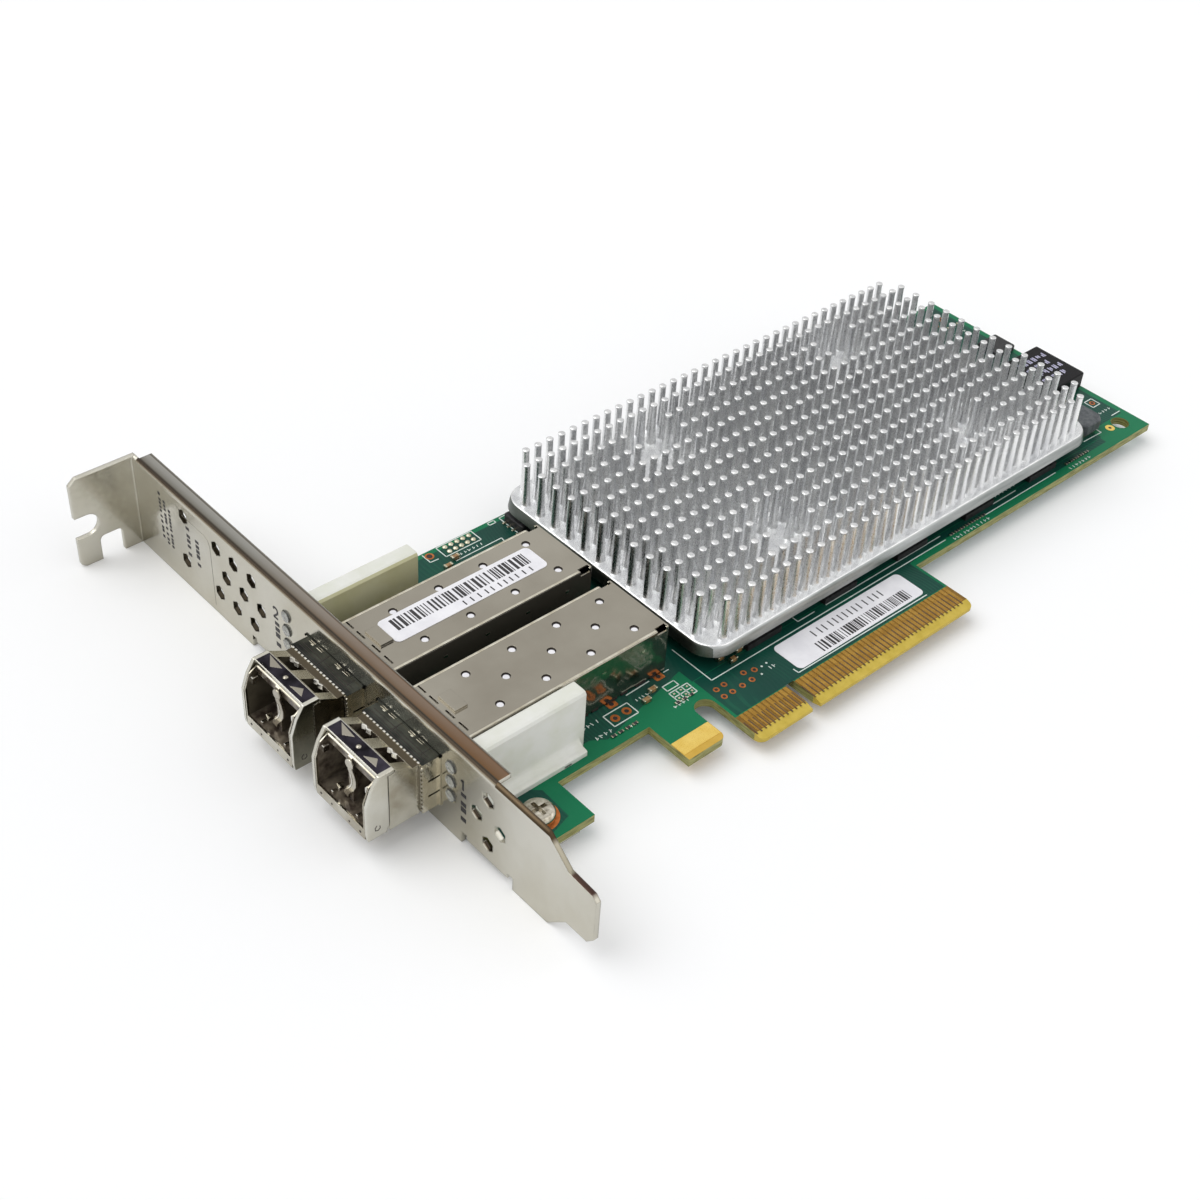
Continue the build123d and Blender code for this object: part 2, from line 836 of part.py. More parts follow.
    # Light pipe housing, its three clear pipes and the lamps on the board
    pipe_y = pipe_lines[port]
    half_cavity = pipe_housing_cavity / 2
    half_housing = half_cavity + pipe_housing_wall
    pipe_front_x = bracket_back_x + 0.1
    with BuildPart() as pipe_housing:
        block(
            pipe_front_x,
            pipe_housing_end_x,
            pipe_y - half_housing,
            pipe_y + half_housing,
            0,
            pipe_housing_height,
        )
        tops = pipe_housing.edges().filter_by(Axis.X).group_by(Axis.Z)[-1]
        fillet(tops, pipe_housing_wall)
        block(
            bracket_back_x + 2.0,
            pipe_housing_end_x - 1.0,
            pipe_y - half_housing - pipe_lip_width,
            pipe_y - half_housing,
            0,
            pipe_lip_height,
        )
        block(
            pipe_front_x + pipe_housing_wall,
            pipe_housing_end_x - pipe_housing_wall,
            pipe_y - half_cavity,
            pipe_y + half_cavity,
            -1,
            pipe_housing_height - pipe_housing_wall,
            mode=Mode.SUBTRACT,
        )
        for z in pipe_heights:
            with Locations(Plane.YZ.offset(pipe_front_x) * Location((pipe_y, z, 0))):
                Cylinder(pipe_d / 2 + 0.05, 3 * pipe_housing_wall, mode=Mode.SUBTRACT)
    keep(pipe_housing, f"light_pipe_housing_{port}")

    with BuildPart() as pipes:
        for z, bend_x in zip(pipe_heights, pipe_bends_x):
            with BuildLine() as route:
                FilletPolyline(
                    (bracket_face_x - pipe_proud, pipe_y, z),
                    (bend_x, pipe_y, z),
                    (bend_x, pipe_y, led_height + led_gap),
                    radius=pipe_bend,
                )
            with BuildSketch(Plane(route.line @ 0, z_dir=route.line % 0)):
                Circle(pipe_d / 2)
            sweep(path=route.line)
    keep(pipes, f"light_pipes_{port}")

    with BuildPart() as lamps:
        for bend_x in pipe_bends_x:
            block(
                bend_x - led_size / 2,
                bend_x + led_size / 2,
                pipe_y - led_size / 2,
                pipe_y + led_size / 2,
                0,
                led_height,
            )
    keep(lamps, f"port_lamps_{port}")

# Pin-fin heatsink
gap_pins = {
    (column + c, row + r)
    for column in pin_gap_columns
    for row in pin_gap_rows
    for c in range(pin_gap_size[0])
    for r in range(pin_gap_size[1])
}
last_column = pin_columns - 1
pin_places = []
for column in range(pin_columns):
    x = pin_first_x + pin_pitch_x * column
    for row in range(pin_rows):
        if (column, row) not in gap_pins:
            pin_places.append((x, pin_first_y + pin_pitch_y * row))
    if 0 < column < last_column:
        pin_places.append((x, pin_first_y - pin_outer_row))
        pin_places.append((x, pin_first_y + pin_pitch_y * (pin_rows - 1) + pin_outer_row))
with BuildPart() as sink:
    with BuildSketch(Plane.XY.offset(sink_bottom_z)):
        with Locations(((sink_left_x + sink_right_x) / 2, (sink_near_y + sink_far_y) / 2)):
            RectangleRounded(sink_right_x - sink_left_x, sink_far_y - sink_near_y, sink_corner)
    extrude(amount=sink_plate)
    chamfer(sink.faces().sort_by(Axis.Z)[-1].edges(), sink_edge_round)
    with Locations(*[(x, y, sink_bottom_z) for x, y in sink_screw_places]):
        Cylinder(sink_screw_d / 2, 2 * sink_screw_depth, mode=Mode.SUBTRACT)
    with BuildSketch(Plane.XY.offset(sink_top_of_plate_z)):
        with Locations(*pin_places):
            RegularPolygon(pin_d / 2, pin_sides)
    extrude(amount=sink_top_z - sink_top_of_plate_z, clean=False)
keep(sink, "heatsink")

# Heatsink fixings: spacers above the board, screws and washers below it
with BuildPart() as spacers:
    with BuildSketch(Plane.XY):
        with Locations(*sink_screw_places):
            Circle(spacer_d / 2)
            Circle((sink_screw_d + screw_clearance) / 2, mode=Mode.SUBTRACT)
    extrude(amount=sink_bottom_z)
keep(spacers, "heatsink_spacers")

with BuildPart() as washers:
    with BuildSketch(Plane.XY.offset(board_under_z)):
        with Locations(*sink_screw_places):
            Circle(sink_washer_d / 2)
            Circle((sink_screw_d + screw_clearance) / 2, mode=Mode.SUBTRACT)
    extrude(amount=-sink_washer_thickness)
keep(washers, "heatsink_washers")

with BuildPart() as sink_screws:
    with BuildSketch(Plane.XY.offset(board_under_z - sink_washer_thickness)):
        with Locations(*sink_screw_places):
            Circle(sink_screw_head_d / 2)
    extrude(amount=-sink_screw_head_height)
    with BuildSketch(Plane.XY.offset(board_under_z - sink_washer_thickness)):
        with Locations(*sink_screw_places):
            Circle(sink_screw_d / 2)
    extrude(amount=board_thickness + sink_washer_thickness + sink_bottom_z + sink_screw_depth)
keep(sink_screws, "heatsink_screws")

# Controller chip and its thermal pad under the heatsink
centre_x = sum(x for x, y in sink_screw_places) / len(sink_screw_places)
centre_y = sum(y for x, y in sink_screw_places) / len(sink_screw_places)
chip_half = controller_size / 2
with BuildPart() as controller:
    block(
        centre_x - chip_half,
        centre_x + chip_half,
        centre_y - chip_half,
        centre_y + chip_half,
        0,
        controller_thickness,
    )
    chamfer(controller.edges().filter_by(Axis.Z), 0.6)
keep(controller, "controller_chip")

with BuildPart() as thermal_pad:
    block(
        centre_x - chip_half + 2,
        centre_x + chip_half - 2,
        centre_y - chip_half + 2,
        centre_y + chip_half - 2,
        controller_thickness,
        sink_bottom_z,
    )
keep(thermal_pad, "thermal_pad")

with BuildPart() as memory:
    for n in range(memory_count):
        x = sink_left_x + 10 + n * (sink_right_x - sink_left_x - 20 - memory_size) / (memory_count - 1)
        corner_block((x, memory_y - memory_size / 2), (memory_size, memory_size, memory_thickness))
keep(memory, "memory_chips")

# Power stage at the tail
with BuildPart() as power:
    corner_block(module_block_corner, module_block)
    fillet(power.edges().filter_by(Axis.Z), 0.4)
keep(power, "power_module")

with BuildPart() as regulator:
    corner_block(regulator_corner, regulator_block)
    chamfer(regulator.edges().filter_by(Axis.Z), 0.8)
keep(regulator, "voltage_regulator")

with BuildPart() as inductor:
    corner_block(inductor_corner, inductor_block)
    chamfer(inductor.edges().filter_by(Axis.Z), inductor_cut)
keep(inductor, "power_inductor")

# Small parts on the board
with BuildPart() as capacitors:
    for x, y, step in capacitor_rows:
        corner_block((x, y), capacitor_block)
        corner_block((x + step * 2, y + step), capacitor_block)
keep(capacitors, "ceramic_capacitors")

with BuildPart() as resistors:
    for x, y, count in resistor_rows:
        for n in range(count):
            corner_block((x + resistor_pitch * n, y), resistor_block)
keep(resistors, "chip_resistors")

with BuildPart() as flash:
    corner_block(flash_corner, flash_block)
keep(flash, "flash_chip")

with BuildPart() as oscillator:
    corner_block(oscillator_corner, oscillator_block)
    fillet(oscillator.edges().filter_by(Axis.Z), 0.5)
keep(oscillator, "oscillator")

# Stick-on labels
with BuildPart() as board_label:
    corner_block(board_label_corner, (*board_label_size, label_thickness))
    fillet(board_label.edges().filter_by(Axis.Z), label_round)
keep(board_label, "board_label")

label_mid = ports["2"] + 0.5
with BuildPart() as cage_label:
    corner_block(
        (bracket_back_x + cage_label_start, label_mid - cage_label_size[1] / 2),
        (*cage_label_size, label_thickness),
        cage_height,
    )
    fillet(cage_label.edges().filter_by(Axis.Z), label_round)
keep(cage_label, "cage_label")
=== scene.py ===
import math
import random

import bmesh
import bpy
from bpy.props import FloatProperty, FloatVectorProperty, IntProperty, PointerProperty
from mathutils import Matrix, Vector


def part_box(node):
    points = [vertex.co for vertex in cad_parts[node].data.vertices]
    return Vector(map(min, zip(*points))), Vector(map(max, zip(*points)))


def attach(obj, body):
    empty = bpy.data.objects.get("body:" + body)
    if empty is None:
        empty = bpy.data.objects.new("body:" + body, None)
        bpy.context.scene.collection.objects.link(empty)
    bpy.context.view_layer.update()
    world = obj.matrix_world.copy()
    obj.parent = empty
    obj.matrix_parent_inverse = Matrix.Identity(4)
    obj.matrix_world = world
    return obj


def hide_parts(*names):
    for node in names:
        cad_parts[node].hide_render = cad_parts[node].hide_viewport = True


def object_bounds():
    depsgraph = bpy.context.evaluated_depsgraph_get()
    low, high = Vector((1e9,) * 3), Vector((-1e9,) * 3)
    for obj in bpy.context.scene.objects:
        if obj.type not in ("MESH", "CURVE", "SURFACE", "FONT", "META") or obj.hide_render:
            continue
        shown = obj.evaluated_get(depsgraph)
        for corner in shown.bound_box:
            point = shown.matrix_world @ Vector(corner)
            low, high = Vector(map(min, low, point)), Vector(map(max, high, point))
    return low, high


bl_info = {
    "name": "Fibre channel adapter",
    "version": (1, 0, 0),
    "blender": (4, 5, 0),
    "location": "View3D > Sidebar > Adapter",
    "description": "Dresses an adapter card with its bracket, ports, heatsink and board details",
    "category": "Object",
}

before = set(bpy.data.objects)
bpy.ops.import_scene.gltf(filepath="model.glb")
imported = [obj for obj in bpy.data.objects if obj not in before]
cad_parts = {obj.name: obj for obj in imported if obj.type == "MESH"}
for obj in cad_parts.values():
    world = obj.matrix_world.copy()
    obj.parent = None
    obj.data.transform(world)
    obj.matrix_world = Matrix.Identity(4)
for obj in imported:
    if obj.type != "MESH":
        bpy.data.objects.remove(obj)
cad_low, cad_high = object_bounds()
MM = 0.001
CARD = "card"
PORTS = ("1", "2")

# Heights above the board, in millimetres
MASK_TOP = 0.012
PRINT_TOP = 0.03
RING_TOP = 0.04

# The bracket's outer face along X, and how high its print stands off it
BRACKET_FACE = -60.15
BRACKET_PRINT = 0.03

# Where the bracket's narrow tail starts along Y
TAIL_START = 8.4

# Heatsink pins: first pin of the grid, steps, counts, and the outer rows' distances
PIN_START = (-7.6, 20.95)
PIN_STEP = (2.735, 3.92)
PIN_COLUMNS, PIN_ROWS = 37, 12
OUTER_ROWS = (17.5, PIN_START[1] + PIN_STEP[1] * 11 + 3.45)

# Step of the round holes along a cage's top
CAGE_HOLE_STEP = 9.15

# Edges that fold by more than this are drawn sharp
CREASE = math.radians(38)

# How coarse the fine layers of every noise are
NOISE_ROUGHNESS = 0.55

# Floor, in metres, and what it adds to its own brightness
FLOOR_REACH = 3.0
FLOOR_GAP = 0.05 * MM
FLOOR_GLOW = 0.08

# The camera that was fitted to the photograph: its place in millimetres and its directions
CAMERA_PLACE = (-171.43, -123.91, 198.69)
CAMERA_RIGHT = (0.74552, -0.66435, 0.05331)
CAMERA_AHEAD = (0.52914, 0.54137, -0.65339)


def mm_box(node):
    """Lowest and highest corner of a node, in millimetres."""
    low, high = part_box(node)
    return low / MM, high / MM


def srgb(red, green, blue):
    """A colour written as 0 to 255, as linear values with alpha."""
    shares = [value / 255 for value in (red, green, blue)]
    return (*(share / 12.92 if share <= 0.04045 else ((share + 0.055) / 1.055) ** 2.4 for share in shares), 1.0)


def linear(colour):
    """Changes three numbers from 0 to 255 into linear values, and leaves sockets and linear colours alone."""
    return srgb(*colour) if isinstance(colour, tuple) and len(colour) == 3 else colour


def each_port(node):
    """Port number, lowest and highest corner and middle line along Y of a node that both ports have."""
    for port in PORTS:
        low, high = mm_box(f"{node}_{port}")
        yield port, low, high, (low.y + high.y) / 2


def port_middles():
    """Where each port's middle line lies along Y."""
    return [mid for *_, mid in each_port("cage_shell")]


# ---------------------------------------------------------------- materials


def operation(kind):
    """A method that joins a value to others by a math node."""
    return lambda self, *others: self.nodes.math(kind, self, *others)


class Value:
    """A node's output for plain arithmetic. A comparison gives 1 where it holds, and | takes the larger."""

    def __init__(self, nodes, socket):
        self.nodes = nodes
        self.socket = socket

    def __rsub__(self, other):
        return self.nodes.math("SUBTRACT", other, self)

    __add__ = operation("ADD")
    __sub__ = operation("SUBTRACT")
    __mul__ = operation("MULTIPLY")
    __gt__ = operation("GREATER_THAN")
    __lt__ = operation("LESS_THAN")
    __or__ = operation("MAXIMUM")
    __abs__ = operation("ABSOLUTE")


class Nodes:
    """Adds nodes to a tree and joins them."""

    def __init__(self, tree):
        self.tree = tree

    def feed(self, socket, value):
        """Links a socket to an output, or sets it to a value."""
        value = getattr(value, "socket", value)
        if hasattr(value, "is_output"):
            self.tree.links.new(value, socket)
        else:
            socket.default_value = value

    def node(self, kind, *values, named=None, **settings):
        """A new node: values go to its first inputs in order, named ones to inputs by name or number."""
        item = self.tree.nodes.new(kind)
        for key, value in settings.items():
            setattr(item, key, value)
        for socket, value in zip(item.inputs, values):
            self.feed(socket, value)
        for key, value in (named or {}).items():
            self.feed(item.inputs[key], value)
        return item

    def math(self, kind, *values):
        return Value(self, self.node("ShaderNodeMath", *values, operation=kind).outputs[0])

    def seen_directly(self):
        """What kinds a ray can be, and 1 for rays from the camera or from a mirror-like surface."""
        rays = self.node("ShaderNodeLightPath").outputs
        return rays, self.math("MAXIMUM", rays["Is Camera Ray"], rays["Is Glossy Ray"])


class Finish(Nodes):
    """A node material that is put together step by step."""

    def __init__(self, name):
        self.material = bpy.data.materials.new(name)
        self.material.use_nodes = True
        super().__init__(self.material.node_tree)
        self.shader = self.tree.nodes["Principled BSDF"]
        self.coordinates = self.node("ShaderNodeTexCoord").outputs

    def axes(self):
        """The object's own X, Y and Z, in millimetres."""
        return [value * (1 / MM) for value in self.parts("Object")]

    def facing(self):
        """How far the surface faces along X, Y and Z."""
        return self.parts("Normal")

    def parts(self, coordinate):
        """The three parts of a kind of coordinate."""
        item = self.node("ShaderNodeSeparateXYZ", self.coordinates[coordinate])
        return [Value(self, output) for output in item.outputs]

    def noise(self, per_mm, detail=3.0, stretch=(1, 1, 1)):
        """Cloudy values with so many swings to a millimetre."""
        spot = self.node("ShaderNodeMapping", self.coordinates["Object"], named={"Scale": stretch})
        inputs = {"Vector": spot.outputs[0], "Scale": per_mm / MM, "Detail": detail, "Roughness": NOISE_ROUGHNESS}
        return Value(self, self.node("ShaderNodeTexNoise", named=inputs).outputs["Fac"])

    def ramp(self, value, stops):
        """Colours along a value from 0 to 1, from stops of (place, colour)."""
        item = self.node("ShaderNodeValToRGB", value)
        points = item.color_ramp.elements
        while len(points) < len(stops):
            points.new(0.5)
        for point, (place, colour) in zip(points, stops):
            point.position = place
            point.color = linear(colour)
        return item.outputs["Color"]

    def tones(self, value, deep, pale, start=0.3):
        """Two shades that blend into each other in the middle of a value's range."""
        return self.ramp(value, ((start, deep), (1 - start, pale)))

    def range(self, value, low, high, start=0.3, end=0.7):
        """Maps start to end onto low to high."""
        inputs = {"Value": value, "From Min": start, "From Max": end, "To Min": low, "To Max": high}
        return Value(self, self.node("ShaderNodeMapRange", named=inputs).outputs["Result"])

    def mix(self, share, first, second):
        inputs = {0: share, 6: linear(first), 7: linear(second)}
        return self.node("ShaderNodeMix", named=inputs, data_type="RGBA").outputs[2]

    def relief(self, height, depth_mm, soft_edge_mm=0.0, strength=1.0):
        """Bump from a height, with edges rounded for the eye where soft_edge_mm is given."""
        inputs = {"Strength": strength, "Distance": depth_mm * MM, "Height": height}
        if soft_edge_mm:
            rounded = self.node("ShaderNodeBevel", named={"Radius": soft_edge_mm * MM}, samples=4)
            inputs["Normal"] = rounded.outputs["Normal"]
        self.feed(self.shader.inputs["Normal"], self.node("ShaderNodeBump", named=inputs).outputs["Normal"])

    def settle(self, colour, rough, metallic=0.0, transmission=0.0, ior=1.5):
        """Connects the shader and returns the material."""
        self.feed(self.shader.inputs["Base Color"], colour)
        self.feed(self.shader.inputs["Roughness"], rough)
        self.feed(self.shader.inputs["Metallic"], metallic)
        self.shader.inputs["Transmission Weight"].default_value = transmission
        self.shader.inputs["IOR"].default_value = ior
        return self.material

    def grained(self, colour, per_mm, gloss, depth_mm, soft_edge_mm=0.0, metallic=1.0, ior=1.5, stretch=(1, 1, 1)):
        """Settles the material with one fine grain in its relief and in its gloss."""
        fine = self.noise(per_mm, 2.0, stretch)
        self.relief(fine, depth_mm, soft_edge_mm)
        return self.settle(colour, self.range(fine, *gloss), metallic, 0.0, ior)


def metal(name, pale, deep, rough, per_mm=0.25, relief=0.004, soft_edge=0.12, stretch=(1, 1, 1)):
    """Plated or bare metal: the colour drifts between two shades and the gloss varies."""
    finish = Finish(name)
    shade = finish.tones(finish.noise(per_mm, 4.0, stretch), deep, pale, 0.32)
    return finish.grained(shade, per_mm * 18, rough, relief, soft_edge, stretch=stretch)


def plastic(name, pale, deep, rough, per_mm=0.6, relief=0.01, soft_edge=0.0, ior=1.5):
    """Moulded or printed surface with a fine grain."""
    finish = Finish(name)
    shade = finish.tones(finish.noise(per_mm), deep, pale, 0.35)
    return finish.grained(shade, per_mm * 12, rough, relief, soft_edge, 0.0, ior)


def zone(x, y, low_x, high_x, low_y, high_y):
    """1 inside a rectangle of a plane, given in millimetres."""
    return (x > low_x) * (x < high_x) * (y > low_y) * (y < high_y)


def toward_first_port(y, side):
    """1 on faces of the second port's parts that look at the first port, where painted dark reflection and shade
    go.
    """
    return (side < -0.6) * (y > port_middles()[0] + 8)


def laminate():
    """Solder mask on the faces, bare substrate at the edges and in the contact strips."""
    finish = Finish("board_laminate")
    x, y, _ = finish.axes()
    on_face = abs(finish.facing()[2]) > 0.7
    mask = finish.tones(finish.noise(0.06, 4.0), (18, 106, 72), tuple(bpy.context.scene.adapter_colours.mask))
    edge = finish.tones(finish.noise(1.6, 2.0, (0.25, 0.25, 3.0)), (112, 110, 60), (166, 164, 106), 0.35)
    bare = finish.tones(finish.noise(0.8), (118, 88, 34), (138, 104, 46))
    gold = finish.tones(finish.noise(0.5), (200, 162, 68), (210, 172, 80))
    rim = finish.tones(finish.noise(0.5), (188, 164, 66), (206, 182, 84))
    colour = finish.mix(zone(x, y, -12.7, 39.7, -1.0, 6.1), mask, bare)
    colour = finish.mix(zone(x, y, -24.8, -16.5, 3.0, 8.2), colour, gold)
    colour = finish.mix(on_face, edge, colour)
    colour = finish.mix(zone(x, y, -12.7, 39.7, -1.0, 1.75), colour, rim)
    return finish.grained(colour, 2.5, (0.32, 0.44), 0.006, 0.05, 0.0, 1.24)


def copper_under_mask():
    """Darker mask where copper lies beneath it, with faint tracks."""
    finish = Finish("mask_over_copper")
    x = finish.axes()[0]
    base = finish.ramp(finish.noise(0.05, 5.0), ((0.3, (14, 58, 50)), (0.55, (16, 70, 58)), (0.75, (18, 84, 62))))
    tracks = finish.math("SINE", (x + finish.noise(0.03, 1.0) * 26.0) * 7.5)
    lit = (tracks > 0.55) * finish.range(finish.noise(0.09, 2.0), 0.0, 0.22, 0.48, 0.6)
    finish.relief(tracks, 0.01, 0.0, 0.5)
    gloss = finish.range(finish.noise(2.5, 2.0), 0.3, 0.42)
    return finish.settle(finish.mix(lit, base, (36, 108, 80)), gloss, 0.0, 0.0, 1.26)


def plated_bracket():
    """Bright nickel, with painted reflection bands and a brown streak along the folded flange, painted reflection
    bands across the tail's top, and painted shade inside the vents.
    """
    finish = Finish("bracket_nickel")
    x, y, z = finish.axes()
    lean, _, up = finish.facing()
    face = finish.tones(finish.noise(0.045, 4.0), (176, 171, 154), (202, 200, 191), 0.32)
    # Painted reflection bands across the folded flange stand in for its rounded fold; a brown streak runs along
    # them, stronger towards lower Y.
    across = finish.range(x, 0.0, 1.0, BRACKET_FACE, BRACKET_FACE + 3.2)
    flange_reflection_bands = finish.ramp(across, (
        (0.02, (196, 193, 182)), (0.07, (132, 122, 104)), (0.11, (48, 40, 32)), (0.27, (66, 60, 52)),
        (0.36, (118, 115, 106)), (0.6, (142, 140, 134)), (0.84, (152, 150, 144)), (0.91, (72, 64, 54)),
        (0.97, (150, 146, 136)),
    ))
    streak = finish.range(finish.noise(0.05, 3.0, (2.0, 0.25, 1.0)), 0.6, 1.0, 0.35, 0.6)
    brown = finish.range(y, 0.0, 0.85, 72.0, 40.0) * streak * (across > 0.3) * (across < 0.9)
    flange = finish.mix(brown, flange_reflection_bands, (110, 72, 30))
    colour = finish.mix(up > 0.5, face, flange)
    colour = finish.mix((y < TAIL_START) | (y > 104.6), colour, face)
    # Painted reflection bands across the upward faces of the narrow tail.
    tail = finish.ramp(finish.range(y, 0.0, 1.0, -13.5, TAIL_START), (
        (0.02, (176, 172, 160)), (0.05, (74, 56, 50)), (0.23, (82, 64, 56)), (0.25, (142, 136, 120)),
        (0.41, (150, 144, 128)), (0.44, (66, 54, 40)), (0.7, (80, 68, 52)),
    ))
    past_vents = (z > 13.2) | (y < -3.2)
    colour = finish.mix((up > 0.3) * (y < TAIL_START) * past_vents, colour, tail)
    # Painted shade on the walls inside the vents.
    vents = zone(y, z, 61.0, 100.0, -2.6, 13.4) * (abs(lean) < 0.5) * (x < -59.2)
    colour = finish.mix(vents, colour, (58, 52, 42))
    return finish.grained(colour, 0.9, (0.16, 0.26), 0.002, 0.45)


def collar_steel():
    """Spring steel around the port mouth, with painted reflections: dark on faces that look up or down, brighter at
    the sides.
    """
    finish = Finish("collar_steel")
    drift = finish.noise(0.35, 4.0)
    dark = finish.tones(drift, (30, 31, 30), (60, 62, 58))
    pale = finish.tones(drift, (196, 189, 170), (218, 213, 197))
    # Painted reflection: faces that look up or down take the dark shade, the others the pale one.
    colour = finish.mix(abs(finish.facing()[2]) > 0.6, pale, dark)
    return finish.grained(colour, 5.0, (0.14, 0.24), 0.004)


def nose_cast():
    """Die-cast nose: bright outside; painted shade makes it dark and warm inside the receptacles, and a painted
    reflection makes it dark beside the other port.
    """
    finish = Finish("nose_cast")
    x, y, z = finish.axes()
    _, side, up = finish.facing()
    drift = finish.noise(0.16, 4.0)
    outside = finish.tones(drift, (158, 151, 134), (200, 197, 184), 0.32)
    inside = finish.tones(finish.noise(0.5, 3.0), (66, 56, 48), (132, 122, 106), 0.35)
    painted_dark_reflection = finish.tones(drift, (62, 54, 44), (104, 98, 82))
    first, second = port_middles()
    in_nose = ((abs(y - first) < 5.9) + (abs(y - second) < 5.9)) * zone(x, z, -72.5, -60.0, 1.75, 10.9)
    # Painted shade: faces inside the receptacles, all but the top ones, are darker, warm and less metallic.
    receptacle_shade = in_nose * (1.0 - (up > 0.4) * (z > 9.45))
    colour = finish.mix(receptacle_shade, outside, inside)
    colour = finish.mix((x > -64.62) * (up > 0.8), colour, (84, 76, 62))
    # Painted dark reflection on faces that look at the first port.
    colour = finish.mix(toward_first_port(y, side), colour, painted_dark_reflection)
    return finish.grained(colour, 2.5, (0.12, 0.22), 0.004, 0.12, 1.0 - receptacle_shade * 0.75)


def bail_steel():
    """Bright bail arms, with a painted dark reflection on the faces that look at the other port."""
    finish = Finish("bail_satin")
    y = finish.axes()[1]
    drift = finish.noise(0.12, 4.0)
    bright = finish.tones(drift, (190, 186, 172), (212, 211, 203), 0.32)
    painted_dark_reflection = finish.tones(drift, (84, 84, 72), (136, 134, 120), 0.35)
    # Painted dark reflection on the arm faces that look at the first port.
    colour = finish.mix(toward_first_port(y, finish.facing()[1]), bright, painted_dark_reflection)
    return finish.grained(colour, 2.5, (0.12, 0.2), 0.003, 0.3)


def cage_tin():
    """Tinned cage sheet: flat above, slightly buckled at the sides, with painted shade where the cages face each
    other.
    """
    finish = Finish("cage_tin")
    y = finish.axes()[1]
    side = finish.facing()[1]
    shade = finish.tones(finish.noise(0.05, 4.0), (143, 137, 125), (161, 156, 144), 0.32)
    fine = finish.noise(0.9, 2.0)
    # Painted shade, darker and less metallic, on the second cage's side that faces the first.
    beside = toward_first_port(y, side)
    waves = finish.noise(0.3, 1.0) * (abs(side) > 0.6)
    finish.relief(fine * 0.006 + waves, 0.22, 0.1)
    colour = finish.mix(beside, shade, (78, 74, 66))
    return finish.settle(colour, finish.range(fine, 0.13, 0.2), 1.0 - beside * 0.7)


def sink_edge():
    """Sawn edge of the heatsink plate, with painted shade where it faces the cages."""
    finish = Finish("heatsink_edge")
    stretch = (0.3, 0.3, 3)
    sawn = finish.tones(finish.noise(0.3, 4.0, stretch), (136, 140, 138), (176, 178, 177), 0.32)
    # Painted shade on the edge faces that look towards -X.
    colour = finish.mix(finish.facing()[0] < -0.6, sawn, (92, 97, 92))
    return finish.grained(colour, 5.4, (0.26, 0.4), 0.01, stretch=stretch)


def pipe_moulding():
    """White moulding; the second one's side has a painted warm reflection of the cage beside it."""
    finish = Finish("pipe_moulding")
    y = finish.axes()[1]
    drift = finish.noise(0.2, 3.0)
    white = finish.tones(drift, (219, 220, 208), (229, 229, 223), 0.35)
    warm = finish.tones(drift, (196, 192, 148), (206, 203, 166), 0.35)
    # Painted warm reflection on the second moulding's -Y side.
    colour = finish.mix((finish.facing()[1] < -0.5) * (y > port_middles()[1]), white, warm)
    return finish.grained(colour, 2.4, (0.42, 0.5), 0.004, metallic=0.0)


def glass(name, tint):
    """Clear moulded plastic."""
    finish = Finish(name)
    fine = finish.noise(1.5, 2.0)
    finish.relief(fine, 0.004)
    shade = finish.tones(fine, tint, (244, 246, 246))
    return finish.settle(shade, finish.range(fine, 0.02, 0.08), 0.0, 0.92, 1.49)


FINISHES = {}


